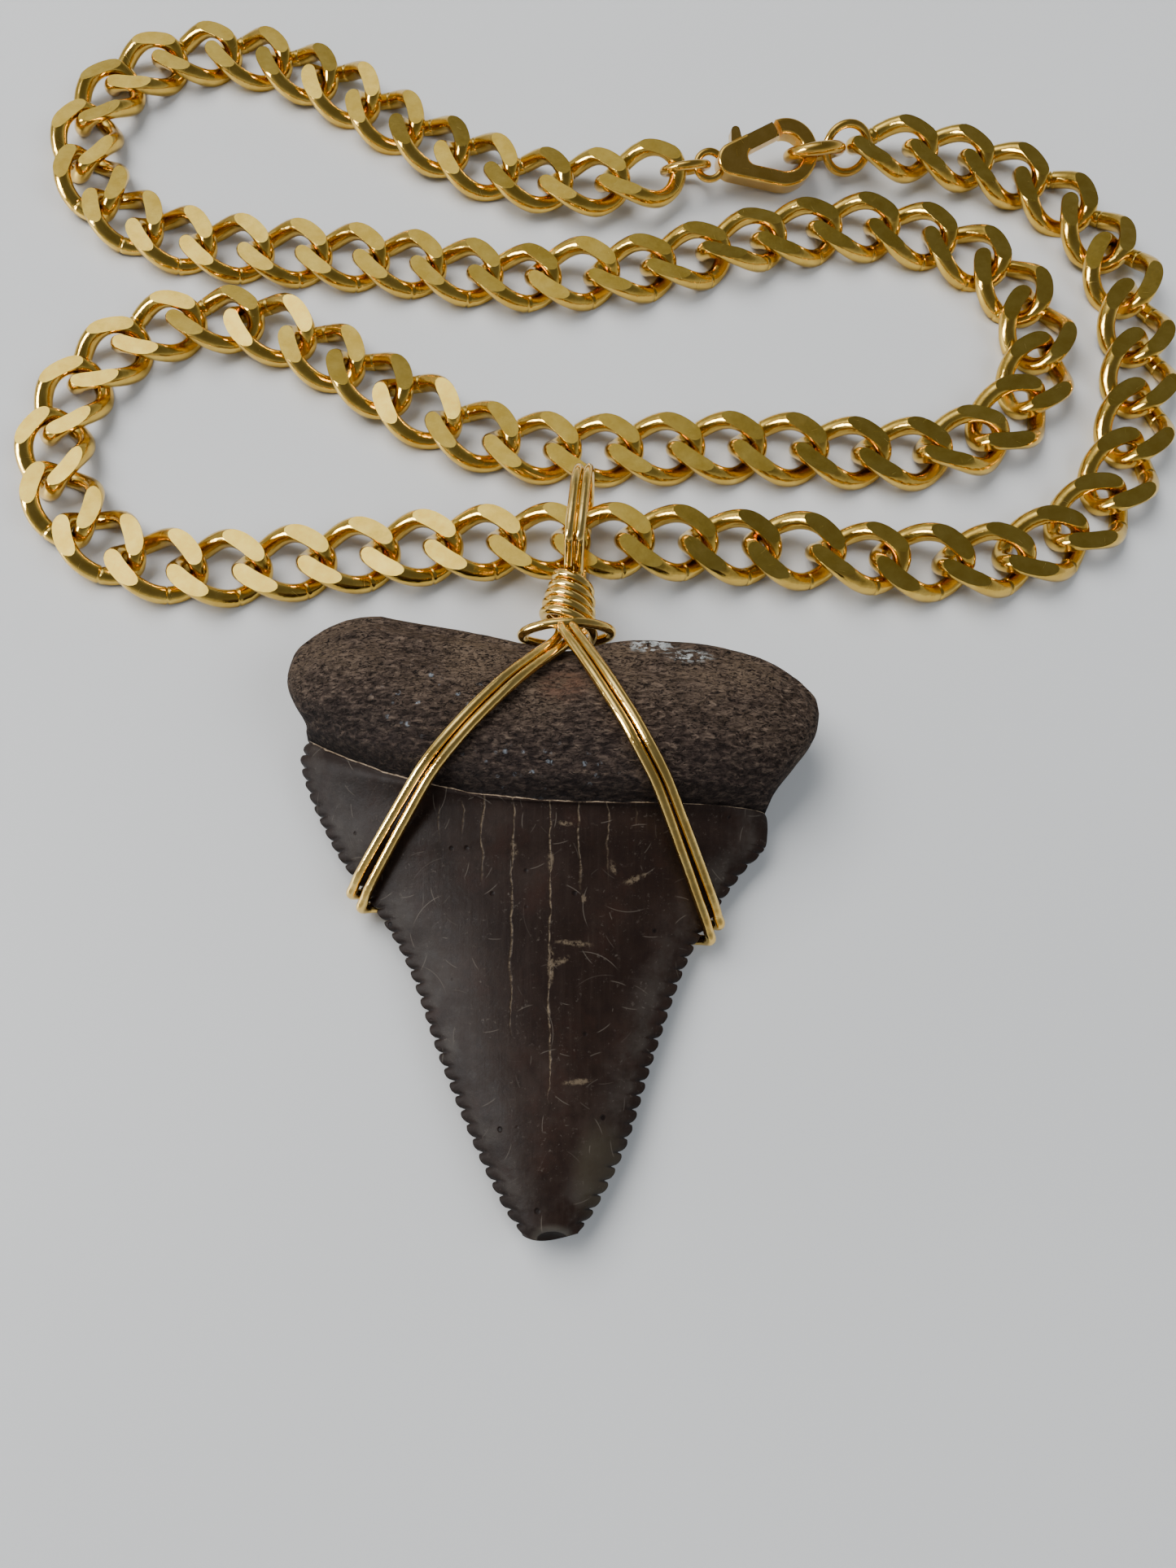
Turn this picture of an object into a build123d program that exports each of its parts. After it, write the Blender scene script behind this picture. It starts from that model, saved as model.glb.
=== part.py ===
from build123d import *
import math
import os
from collections import namedtuple

# A fossil shark tooth in a doubled wire wrap on a curb chain, lying on a flat surface.
# Millimetres. The drawing frame has the tooth's tip at x = 0, y = 0 and the root towards +Y.
# All pieces are shifted together at the end, so that the origin is the bottom centre of the part.

# Tooth
TOOTH_WIDTH = 42.0
TOOTH_LENGTH = 47.4
ROOT_THICKNESS = 9.0
CROWN_THICKNESS = 7.0
BLADE_THICKNESS = 0.45
ROOT_RIM = 1.5
SERRATION_PITCH = 1.08
SERRATION_DEPTH = 0.42
TOOTH_COLUMNS = 14
ROOT_STEPS = 12
ROWS_PER_SERRATION = 2
SERRATIONS_PER_BAND = 2
RIGHT_SERRATIONS_END = 0.72
LENGTH_STEPS = 400
SAMPLE_ROWS = 120
SAMPLE_COLUMNS = 48

# Wire wrap
WIRE_DIAMETER = 0.81
WIRE_GAP = 0.06
TOOTH_CLEARANCE = 0.15
EDGE_REACH = 1.12
EDGE_STEP = 0.01
CORNER_SPACING = 1.3
CORNER_SHARE = 0.45
WIRE_REACH = 0.75
CROSSING_RISE = 0.85
NECK_OFFSET = 0.7
NECK_LEAN = 0.10
NECK_HEIGHT = 5.0
CONE_HEIGHT = 4.75
BRIM_RADIUS = 3.7
CONE_TOP_RADIUS = 1.5
CONE_FOOT_RADIUS = 2.3
CONE_EASE = 0.7
COIL_POINTS = 10
COIL_SLANT = 0.2
BRIM_SLANT = -0.04
COIL_START_ANGLE = 225.0
UPPER_END = 1.93
LOWER_START = 2.03
LOWER_END = 5.66
BRIM_START = 4.62
BRIM_FULL = 4.98
COIL_PITCH = 0.87
BAIL_LENGTH = 9.8
BAIL_SHOULDER = 1.2
BAIL_CORNER = 0.28
BAIL_LIFT = 0.8
CORE_DEPTH = 0.5
TUCK_DEPTH = 0.1
TUCK_RISE = 0.43
LEFT_NECK_BEND = 1.5
RIGHT_NECK_BEND = 0.5

# Curb chain
LINK_COUNT = 80
LINK_PITCH = 5.5
LINK_WIRE = 1.6
LINK_GAP = 0.4
LINK_HALF_WIDTH = 2.7
LINK_TWIST_ANGLE = 50.0
LINK_THICKNESS = 2.4
LINK_SEGMENTS = 12
LINK_SIDES = 6
ANGLE_STEP = 1e-4
CHAIN_CLEARANCE = 0.15
BAIL_MIDDLE = 5.4

# Clasp, rings and their play
RING_PLAY = 0.23
HOOK_PLAY = 0.5
RING_LEAN_ANGLE = 38.0
JUMP_RING_RADIUS = 2.1
JUMP_RING_WIRE = 0.8
END_RING_RADIUS = 2.4
END_RING_WIRE = 1.2
EYE_RADIUS = 1.25
EYE_WIRE = 0.7
CLASP_LENGTH = 12.0
CLASP_WIDTH = 6.2
CLASP_THICKNESS = 2.4
CLASP_BAR = 1.4
CLASP_ROLL_ANGLE = 26.0
BASE_RADIUS = 1.5
BASE_OVERLAP = 0.6
THROAT_RADIUS = 0.8
PIVOT_SHIFT = 0.6
PIVOT_HEIGHT = 0.7
CLASP_EDGE = 0.35
LEVER_THICKNESS = 1.4
LEVER_PLAY = 0.15
LEVER_BOSS = 0.95
LEVER_LAP = 0.3
LEVER_SWING_ANGLE = 25.0
LEVER_STEPS = 5
TIP_PLAY = 0.25
NUB_HEIGHT = 2.3
NUB_RADIUS = 0.42
NUB_FOOT = 0.66
PIN_RADIUS = 0.4
PIN_PLAY = 0.04

wire_radius = WIRE_DIAMETER / 2
strand_step = WIRE_DIAMETER + WIRE_GAP
tooth_bed = WIRE_DIAMETER + TOOTH_CLEARANCE
half_width = TOOTH_WIDTH / 2

# Edges of the crown from the tip to the enamel line, and of the root up to the lobes' corners:
# reach from the midline as a share of half the width, height as a share of the length.
EdgeRow = namedtuple("EdgeRow", "left_reach left_height right_reach right_height")
CROWN_EDGES = [
    EdgeRow(-0.100, 0.009, 0.086, 0.012),
    EdgeRow(-0.171, 0.049, 0.152, 0.050),
    EdgeRow(-0.281, 0.141, 0.257, 0.141),
    EdgeRow(-0.405, 0.264, 0.350, 0.264),
    EdgeRow(-0.533, 0.409, 0.471, 0.409),
    EdgeRow(-0.652, 0.496, 0.579, 0.494),
    EdgeRow(-0.769, 0.565, 0.695, 0.565),
    EdgeRow(-0.833, 0.607, 0.774, 0.602),
    EdgeRow(-0.926, 0.686, 0.790, 0.629),
    EdgeRow(-0.976, 0.755, 0.790, 0.652),
    EdgeRow(-0.952, 0.791, 0.781, 0.662),
]
ROOT_EDGES = [
    EdgeRow(-0.952, 0.791, 0.781, 0.662),
    EdgeRow(-0.943, 0.807, 0.819, 0.696),
    EdgeRow(-0.981, 0.835, 0.895, 0.738),
    EdgeRow(-1.010, 0.863, 0.962, 0.778),
    EdgeRow(-1.019, 0.890, 0.986, 0.821),
]

# Upper edge of the root from the left lobe to the right one, with the notch between them.
TopPoint = namedtuple("TopPoint", "reach height")
ROOT_TOP = [
    TopPoint(-1.019, 0.890),
    TopPoint(-0.990, 0.937),
    TopPoint(-0.905, 0.973),
    TopPoint(-0.800, 0.994),
    TopPoint(-0.686, 1.000),
    TopPoint(-0.543, 0.987),
    TopPoint(-0.381, 0.975),
    TopPoint(-0.238, 0.962),
    TopPoint(-0.110, 0.948),
    TopPoint(0.033, 0.935),
    TopPoint(0.205, 0.951),
    TopPoint(0.324, 0.956),
    TopPoint(0.450, 0.953),
    TopPoint(0.571, 0.947),
    TopPoint(0.676, 0.937),
    TopPoint(0.780, 0.922),
    TopPoint(0.860, 0.903),
    TopPoint(0.929, 0.878),
    TopPoint(0.975, 0.850),
    TopPoint(0.986, 0.821),
]

# Sag of each row below the straight line between its two edges, for the tip and the enamel line.
SagRow = namedtuple("SagRow", "station sag")
ROW_SAG = [SagRow(0.0, 0.008), SagRow(0.12, 0.0), SagRow(0.7, 0.0), SagRow(1.0, 0.071)]
SAG_SKEW = 0.12

# Cross-sections from the tip (0) over the enamel line (1) to the root's upper edge (2).
# body: share of the crown's thickness; bulge: share of what the root is thicker than the crown;
# bed and edge: heights of the back face and of the rim's middle, as shares of the root's thickness;
# rim: 0 for the blade, 1 for the root's rim; fullness and roundness shape the arch across.
Section = namedtuple("Section", "station body bulge bed edge rim fullness roundness")
SECTIONS = [
    Section(0.00, 0.34, 0.0, 0.03, 0.15, 0.9, 2.6, 0.80),
    Section(0.06, 0.42, 0.0, 0.01, 0.14, 0.0, 2.4, 0.90),
    Section(0.25, 0.58, 0.0, 0.00, 0.12, 0.0, 2.1, 0.95),
    Section(0.50, 0.78, 0.0, 0.00, 0.12, 0.0, 2.1, 0.95),
    Section(0.75, 0.93, 0.0, 0.00, 0.14, 0.0, 2.2, 0.90),
    Section(1.00, 1.00, 0.0, 0.00, 0.18, 0.2, 2.6, 0.75),
    Section(1.15, 1.00, 0.7, 0.00, 0.28, 0.8, 3.2, 0.60),
    Section(1.35, 1.00, 1.0, 0.00, 0.36, 1.0, 3.6, 0.52),
    Section(1.60, 1.00, 0.8, 0.01, 0.39, 1.0, 3.8, 0.50),
    Section(1.80, 0.98, 0.2, 0.06, 0.39, 1.0, 3.8, 0.50),
    Section(1.93, 0.82, 0.0, 0.16, 0.39, 1.0, 3.8, 0.50),
    Section(2.00, 0.61, 0.0, 0.31, 0.39, 1.0, 3.8, 0.50),
]
BACK_FULLNESS = 3.2

# Where the two wires cross the crown's edges, as stations.
WrapRow = namedtuple("WrapRow", "left_edge right_edge")
WRAP_UPPER = WrapRow(0.560, 0.492)
WRAP_LOWER = WrapRow(0.527, 0.458)

# Bends of the two diagonals over the enamel line, as shares of half the width and of the length.
LEFT_BEND = (-0.448, 0.697)
RIGHT_BEND = (0.379, 0.676)

# The chain's route, from the bail to the left and round to it again: control points of a smooth
# closed curve, in mm from the middle of the bail. The curve is scaled to the chain's length.
CHAIN_ROUTE = [
    (0.0, 0.0), (-10.7, 0.0), (-21.5, -1.0), (-33.2, -3.4), (-44.9, 0.5), (-48.8, 12.7),
    (-41.0, 23.9), (-28.8, 24.4), (-18.1, 16.1), (-8.8, 9.8), (2.9, 9.3), (14.7, 10.3),
    (26.4, 8.8), (37.1, 9.3), (44.4, 19.5), (40.0, 30.8), (29.3, 35.2), (17.6, 33.2),
    (6.8, 29.3), (-4.9, 27.4), (-15.6, 30.3), (-26.4, 31.3), (-39.1, 31.7), (-49.3, 39.1),
    (-49.3, 50.8), (-39.6, 58.1), (-27.8, 54.7), (-18.1, 46.9), (-8.8, 40.5), (2.0, 37.6),
    (12.7, 41.5), (23.4, 43.0), (34.2, 43.0), (45.9, 40.0), (51.8, 29.3), (51.3, 15.6),
    (46.9, 2.4), (35.2, -2.9), (22.5, -1.0), (10.7, 0.0),
]
CLASP_START = 29.6
ROUTE_SPACING = 11.5
STEP_ROUNDS = 8
SCALE_ROUNDS = 12
CHAIN_FLAT = 0.35
CHAIN_RAMP = 1.6
CLASP_RAMP = 1.8


def mix(a, b, share):
    return a + (b - a) * share


def clamp(value, low, high):
    return min(high, max(low, value))


def smooth(share):
    share = clamp(share, 0.0, 1.0)
    return share * share * (3 - 2 * share)


def spline(rows, place):
    """The row of a table at a place between 0 and 1, on a smooth curve through all its rows."""
    last = len(rows) - 1
    spot = clamp(place, 0.0, 1.0) * last
    i = min(int(spot), last - 1)
    f = spot - i
    before, a, b, after = (rows[clamp(k, 0, last)] for k in (i - 1, i, i + 1, i + 2))
    return [
        0.5 * (2 * q + (r - p) * f + (2 * p - 5 * q + 4 * r - s) * f**2 + (3 * (q - r) + s - p) * f**3)
        for p, q, r, s in zip(before, a, b, after)
    ]


def lookup(rows, station):
    """A table's row at a station, interpolated smoothly between its neighbours."""
    for a, b in zip(rows, rows[1:]):
        if station <= b.station:
            return type(a)(*(mix(p, q, smooth((station - a.station) / (b.station - a.station)))
                             for p, q in zip(a, b)))
    return rows[-1]


def edge_points(rows, place):
    """Left and right outline points of a row of the crown or the root."""
    left_x, left_y, right_x, right_y = spline(rows, place)
    left = (left_x * half_width, left_y * TOOTH_LENGTH)
    right = (right_x * half_width, right_y * TOOTH_LENGTH)
    return left, right


def crown_plan(station, u):
    """Plan point of the crown: station 0 at the tip to 1 at the enamel line, u from -1 to 1."""
    left, right = edge_points(CROWN_EDGES, station)
    share = (u + 1) / 2
    sag = lookup(ROW_SAG, station).sag * TOOTH_LENGTH * (1 - u * u) * (1 - SAG_SKEW * 4 * u)
    return mix(left[0], right[0], share), mix(left[1], right[1], share) - sag


def root_plan(station, u):
    """Plan point of the root: station 1 at the enamel line to 2 at the upper edge."""
    w = station - 1
    share = (u + 1) / 2
    low = crown_plan(1.0, u)
    top_x, top_y = spline(ROOT_TOP, share)
    top = (top_x * half_width, top_y * TOOTH_LENGTH)
    left, right = edge_points(ROOT_EDGES, w)
    low_left, low_right = edge_points(ROOT_EDGES, 0.0)
    top_left, top_right = edge_points(ROOT_EDGES, 1.0)
    return tuple(
        mix(low[k], top[k], w)
        + (1 - share) * (left[k] - mix(low_left[k], top_left[k], w))
        + share * (right[k] - mix(low_right[k], top_right[k], w))
        for k in (0, 1)
    )


def tooth_point(station, u, front):
    """A point of the tooth's front or back face."""
    x, y = crown_plan(station, u) if station <= 1 else root_plan(station, u)
    s = lookup(SECTIONS, station)
    crest = s.body * CROWN_THICKNESS + s.bulge * (ROOT_THICKNESS - CROWN_THICKNESS)
    half_rim = mix(BLADE_THICKNESS, ROOT_RIM, clamp(s.rim, 0.0, 1.0)) / 2
    edge = s.edge * ROOT_THICKNESS
    side = min(abs(u), 1.0)
    if front:
        arch = (1 - side**s.fullness) ** s.roundness
        z = mix(edge + half_rim, max(crest, edge + half_rim), arch)
    else:
        arch = (1 - side**BACK_FULLNESS) ** s.roundness
        z = mix(edge - half_rim, s.bed * ROOT_THICKNESS, arch)
    return (x, y, tooth_bed + z)


def bitten(point, inner, depth):
    """An edge point moved towards the row's inside, for the notch between two serrations."""
    dx = inner[0] - point[0]
    dy = inner[1] - point[1]
    share = depth / math.hypot(dx, dy)
    return (mix(point[0], inner[0], share), mix(point[1], inner[1], share), point[2])


def even_stations(count):
    """Stations of the crown at even distances along its left edge, and that edge's length."""
    points = [edge_points(CROWN_EDGES, k / LENGTH_STEPS)[0] for k in range(LENGTH_STEPS + 1)]
    travelled = [0.0]
    for p, q in zip(points, points[1:]):
        travelled.append(travelled[-1] + math.dist(p, q))
    stations = []
    k = 0
    for i in range(count + 1):
        goal = travelled[-1] * i / count
        while k < LENGTH_STEPS - 1 and travelled[k + 1] < goal:
            k += 1
        within = (goal - travelled[k]) / (travelled[k + 1] - travelled[k])
        stations.append((k + within) / LENGTH_STEPS)
    return stations, travelled[-1]


def serrated(station, column, front, row):
    """An edge point of the crown, every second one bitten inwards."""
    point = tooth_point(station, column, front)
    past_serrations = column > 0 and station > RIGHT_SERRATIONS_END
    if row % ROWS_PER_SERRATION == 0 or past_serrations:
        return point
    return bitten(point, tooth_point(station, 0.0, front), SERRATION_DEPTH)


def spread(count):
    """Places across the tooth from -1 to 1, closer together towards its edges."""
    return [math.sin(math.pi / 2 * (2 * i / count - 1)) for i in range(count + 1)]


def triangles(a, b, c, d):
    return [(a, b, c), (a, c, d)]


def lace(fine, coarse, step):
    """Triangles between a finely divided edge and a coarse line that has every step-th row."""
    faces = []
    for k in range(len(coarse) - 1):
        start = k * step
        middle = start + step // 2
        faces += [(fine[i], fine[i + 1], coarse[k]) for i in range(start, middle)]
        faces.append((fine[middle], coarse[k + 1], coarse[k]))
        faces += [(fine[i], fine[i + 1], coarse[k + 1]) for i in range(middle, start + step)]
    return faces


def tooth_faces():
    """All triangles of the tooth: crown bands, serrated edges, root and rims."""
    step = ROWS_PER_SERRATION * SERRATIONS_PER_BAND
    length = even_stations(1)[1]
    bands = round(length / (SERRATION_PITCH * SERRATIONS_PER_BAND))
    rows = bands * step
    stations = even_stations(rows)[0]
    columns = spread(TOOTH_COLUMNS)
    crown = stations[::step]
    root = [1 + k / ROOT_STEPS for k in range(ROOT_STEPS + 1)]
    faces = []
    for front in (True, False):
        inner = columns[1:-1]
        grid = [[tooth_point(s, u, front) for u in inner] for s in crown]
        for low, high in zip(grid, grid[1:]):
            for i in range(len(inner) - 1):
                faces += triangles(low[i], low[i + 1], high[i + 1], high[i])
        for side, column in ((-1.0, 0), (1.0, -1)):
            fine = [serrated(s, side, front, r) for r, s in enumerate(stations)]
            faces += lace(fine, [line[column] for line in grid], step)
        grid = [[tooth_point(s, u, front) for u in columns] for s in root]
        for low, high in zip(grid, grid[1:]):
            for i in range(TOOTH_COLUMNS):
                faces += triangles(low[i], low[i + 1], high[i + 1], high[i])
    for side in (-1.0, 1.0):
        upper = [serrated(s, side, True, r) for r, s in enumerate(stations)]
        lower = [serrated(s, side, False, r) for r, s in enumerate(stations)]
        upper += [tooth_point(s, side, True) for s in root[1:]]
        lower += [tooth_point(s, side, False) for s in root[1:]]
        for k in range(len(upper) - 1):
            faces += triangles(lower[k], lower[k + 1], upper[k + 1], upper[k])
    for station in (0.0, 2.0):
        upper = [tooth_point(station, u, True) for u in columns]
        lower = [tooth_point(station, u, False) for u in columns]
        for k in range(TOOTH_COLUMNS):
            faces += triangles(lower[k], lower[k + 1], upper[k + 1], upper[k])
    return faces


def faceted(faces):
    """A closed solid sewn from triangles."""
    patches = [Face(Wire.make_polygon(list(corners), close=True)) for corners in faces]
    return Solid(Shell(patches))


def rounded_path(points):
    """Straight runs joined by tangent arcs, which take a share of the shorter run at each corner."""
    points = [Vector(*p) for p in points]
    edges = []
    start = points[0]
    for before, corner, after in zip(points, points[1:], points[2:]):
        inward = (corner - before).normalized()
        outward = (after - corner).normalized()
        turn = math.radians(inward.get_angle(outward))
        tangent = CORNER_SHARE * min((corner - before).length, (after - corner).length)
        radius = tangent / math.tan(turn / 2)
        bisector = (outward - inward).normalized()
        middle = corner + bisector * (radius / math.cos(turn / 2) - radius)
        first = corner - inward * tangent
        last = corner + outward * tangent
        edges.append(Edge.make_line(start, first))
        edges.append(Edge.make_three_point_arc(first, middle, last))
        start = last
    edges.append(Edge.make_line(start, points[-1]))
    return Wire(edges)


def round_wire(points, radius):
    """A round wire swept along a rounded path."""
    path = rounded_path(points)
    section = Plane(origin=path @ 0, z_dir=path % 0) * Circle(radius)
    return sweep(section, path=path).solid()


def tooth_samples():
    """Points spread over the tooth's front face, as obstacles for the wires."""
    stations = [2 * k / SAMPLE_ROWS for k in range(SAMPLE_ROWS + 1)]
    return [tooth_point(s, u, True) for s in stations for u in spread(SAMPLE_COLUMNS)]


def taut(start, plan, finish, obstacles):
    """Wire points from start to finish over the obstacles, drawn tight in height."""
    corners = [start[:2]] + plan + [finish[:2]]
    stations = []
    bends = []
    travelled = 0.0
    for a, b in zip(corners, corners[1:]):
        run = math.dist(a, b)
        steps = max(2, round(run / wire_radius))
        for k in range(steps):
            share = k / steps
            stations.append((travelled + run * share, mix(a[0], b[0], share), mix(a[1], b[1], share)))
        travelled += run
        bends.append(travelled)
    rope = [(0.0, start[2])]
    for distance, x, y in stations[1:]:
        tops = [z for ox, oy, z in obstacles if math.hypot(ox - x, oy - y) < WIRE_REACH]
        if tops:
            rope.append((distance, max(tops) + wire_radius + TOOTH_CLEARANCE))
    rope.append((travelled, finish[2]))
    hull = upper_hull(rope)
    places = spaced(bends[:-1], [d for d, z in hull[1:-1]], travelled)
    return [start] + [(*along(corners, d), hull_height(hull, d)) for d in places] + [finish]


def upper_hull(rope):
    """The points of a rope's line, by distance and height, that carry it when it is pulled tight."""
    hull = []
    for c in rope:
        while len(hull) > 1:
            a, b = hull[-2], hull[-1]
            if (b[1] - a[1]) * (c[0] - a[0]) > (c[1] - a[1]) * (b[0] - a[0]):
                break
            hull.pop()
        hull.append(c)
    return hull


def hull_height(hull, distance):
    for a, b in zip(hull, hull[1:]):
        if distance <= b[0]:
            return mix(a[1], b[1], (distance - a[0]) / (b[0] - a[0]))
    return hull[-1][1]


def spaced(bends, contacts, length):
    """Places of the wire's corners: all bends, and the contacts that aren't close to another corner."""
    kept = list(bends)
    for place in contacts:
        if place > CORNER_SPACING / 2 and length - place > CORNER_SPACING / 3:
            if all(abs(place - other) > CORNER_SPACING for other in kept):
                kept.append(place)
    return sorted(kept)


def along(corners, distance):
    """The plan point at a distance along straight runs between corners."""
    for a, b in zip(corners, corners[1:]):
        run = math.dist(a, b)
        if distance <= run:
            return mix(a[0], b[0], distance / run), mix(a[1], b[1], distance / run)
        distance -= run
    return corners[-1]


def edge_under_brim():
    """Height of the root's upper edge where the coil's brim stands on it."""
    points = [spline(ROOT_TOP, k / SAMPLE_ROWS) for k in range(SAMPLE_ROWS + 1)]
    reach = BRIM_RADIUS + wire_radius
    return max(h * TOOTH_LENGTH for x, h in points if abs(x * half_width - NECK_OFFSET) < reach)


notch_top = edge_under_brim()
brim_y = notch_top + wire_radius + TOOTH_CLEARANCE - BRIM_RADIUS * BRIM_SLANT
cone_top = brim_y + CONE_HEIGHT


def neck_x(y):
    return NECK_OFFSET + NECK_LEAN * (y - notch_top)


def beside(route, offset):
    """Plan points at an even distance to the left of a route of plan points."""
    moved = []
    for i, (x, y) in enumerate(route):
        before = route[max(i - 1, 0)]
        after = route[min(i + 1, len(route) - 1)]
        first = (Vector(x, y) - Vector(*before)).normalized() if i else None
        last = (Vector(*after) - Vector(x, y)).normalized() if i < len(route) - 1 else first
        first = first or last
        middle = (first + last).normalized()
        reach = offset / middle.dot(first)
        moved.append((x - middle.Y * reach, y + middle.X * reach))
    return moved


def edge_turn(station, side):
    """Where a wire turns round the crown's edge: outside the edge, and under the crown beside it."""
    index = 0 if side < 0 else 1
    x, y = edge_points(CROWN_EDGES, station)[index]
    low = edge_points(CROWN_EDGES, station - EDGE_STEP)[index]
    high = edge_points(CROWN_EDGES, station + EDGE_STEP)[index]
    along_edge = (Vector(*high) - Vector(*low)).normalized()
    outward = Vector(along_edge.Y, -along_edge.X) * side
    level = tooth_bed + lookup(SECTIONS, station).edge * ROOT_THICKNESS
    outside = (x + outward.X * EDGE_REACH, y + outward.Y * EDGE_REACH, level)
    under = (x - side * 2 * WIRE_DIAMETER, y, wire_radius)
    return outside, under


def coil_point(turn):
    """A corner of the coil's winding, which goes round the neck from the top down to the brim."""
    angle = math.radians(COIL_START_ANGLE - 360 * turn)
    flare = smooth((turn - BRIM_START) / (BRIM_FULL - BRIM_START))
    cone = mix(CONE_TOP_RADIUS, CONE_FOOT_RADIUS, clamp(turn / BRIM_START, 0.0, 1.0))
    corner = 1 / math.cos(math.pi / COIL_POINTS)
    radius = mix(cone, BRIM_RADIUS, flare) * mix(1.0, corner, CONE_EASE)
    x = radius * math.cos(angle)
    slant = mix(COIL_SLANT, BRIM_SLANT, flare)
    y = mix(cone_top - COIL_PITCH * turn, brim_y, flare) - slant * x
    return (neck_x(y) + x, y, NECK_HEIGHT + radius * math.sin(angle))


def coil(first, last):
    """Corners of the winding between two turns, in even steps."""
    steps = round((last - first) * COIL_POINTS)
    return [coil_point(mix(first, last, k / steps)) for k in range(steps + 1)]


def bail(side):
    """The bail's loop in the plane of the neck, from its front strand over the far end to the back."""
    near = cone_top + BAIL_SHOULDER
    far = cone_top + BAIL_LENGTH
    half = NECK_HEIGHT - wire_radius
    corner = half * BAIL_CORNER
    loop = [
        (near, half), (far - corner, half), (far, half - corner),
        (far, corner - half), (far - corner, -half), (near, -half),
    ]
    return [(neck_x(y) + side * strand_step / 2, y, NECK_HEIGHT + z) for y, z in loop]


def pair(route, side):
    return beside(route, -side * strand_step / 2)


def neck_plan(above_brim):
    y = brim_y + above_brim
    return (neck_x(y), y)


def placed(shares):
    return (shares[0] * half_width, shares[1] * TOOTH_LENGTH)


def left_diagonal(side, row, obstacles):
    """Corners of one wire from the crown's left edge over the front to the core of the neck."""
    outside = edge_turn(row.left_edge, -1)[0]
    route = [outside[:2], placed(LEFT_BEND), neck_plan(-LEFT_NECK_BEND), neck_plan(CORE_DEPTH)]
    plan = pair(route, side)
    core = (*plan[-1], NECK_HEIGHT + strand_step / 2)
    return taut(outside, plan[1:-1], core, obstacles)


def right_diagonal(side, row, obstacles):
    """Corners of one wire from its end inside the coil over the front to the crown's right edge."""
    outside = edge_turn(row.right_edge, 1)[0]
    route = [neck_plan(TUCK_DEPTH), neck_plan(-RIGHT_NECK_BEND), placed(RIGHT_BEND), outside[:2]]
    plan = pair(route, side)
    tuck = (*plan[0], NECK_HEIGHT + strand_step * 3 / 2 + TUCK_RISE)
    return taut(tuck, plan[1:-1], outside, obstacles)


def raised(corners):
    """Points along a wire's upper side, as obstacles for a wire that crosses over it."""
    tops = []
    for a, b in zip(corners, corners[1:]):
        steps = max(1, round(math.dist(a, b) / wire_radius))
        for i in range(steps):
            x, y, z = (mix(p, q, i / steps) for p, q in zip(a, b))
            tops.append((x, y, z + CROSSING_RISE))
    return tops


def neck_point(side, height, z):
    """A point of a strand in or over the neck, at a height above the coil's first turn."""
    y = cone_top + height
    return (neck_x(y) + side * strand_step / 2, y, NECK_HEIGHT + z)


def wrap_wires():
    """The corners of the upper and the lower wire of the wrap."""
    obstacles = tooth_samples()
    rows = {-1: WRAP_UPPER, 1: WRAP_LOWER}
    left = {side: left_diagonal(side, row, obstacles) for side, row in rows.items()}
    obstacles = obstacles + raised(left[-1]) + raised(left[1])
    right = {side: right_diagonal(side, row, obstacles) for side, row in rows.items()}
    half = strand_step / 2
    fall = COIL_PITCH * LOWER_START - wire_radius
    tails = {
        -1: coil(0.0, UPPER_END),
        1: [neck_point(1, wire_radius, -half), neck_point(1, -fall, -half)] + coil(LOWER_START, LOWER_END),
    }
    return [
        right[side] + [edge_turn(row.right_edge, 1)[1], edge_turn(row.left_edge, -1)[1]]
        + left[side] + [neck_point(side, BAIL_LIFT, half)] + bail(side) + tails[side]
        for side, row in rows.items()
    ]


def link_centre(angle):
    """The middle of a link's wire, round an oval that is twisted along its length."""
    reach = (LINK_PITCH + LINK_WIRE + LINK_GAP) / 2
    twist = math.radians(LINK_TWIST_ANGLE) * math.cos(angle)
    across = LINK_HALF_WIDTH * math.sin(angle)
    return Vector(reach * math.cos(angle), across * math.cos(twist), across * math.sin(twist))


def link_faces():
    """Triangles of one curb link, whose wire is filed flat on both sides."""
    flat = LINK_THICKNESS / 2
    rings = []
    for i in range(LINK_SEGMENTS):
        angle = 2 * math.pi * (i + 0.5) / LINK_SEGMENTS
        twist = math.radians(LINK_TWIST_ANGLE) * math.cos(angle)
        middle = link_centre(angle)
        ahead = (link_centre(angle + ANGLE_STEP) - link_centre(angle - ANGLE_STEP)).normalized()
        up = Vector(0, -math.sin(twist), math.cos(twist))
        up = (up - ahead * up.dot(ahead)).normalized()
        out = ahead.cross(up)
        ring = []
        for j in range(LINK_SIDES):
            turn = 2 * math.pi * (j + 0.5) / LINK_SIDES
            corner = middle + out * (LINK_WIRE / 2 * math.cos(turn)) + up * (LINK_WIRE / 2 * math.sin(turn))
            ring.append((corner.X, corner.Y, clamp(corner.Z, -flat, flat)))
        rings.append(ring)
    faces = []
    for i in range(LINK_SEGMENTS):
        here = rings[i]
        there = rings[(i + 1) % LINK_SEGMENTS]
        for j in range(LINK_SIDES):
            k = (j + 1) % LINK_SIDES
            faces += triangles(here[j], here[k], there[k], there[j])
    return faces


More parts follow.
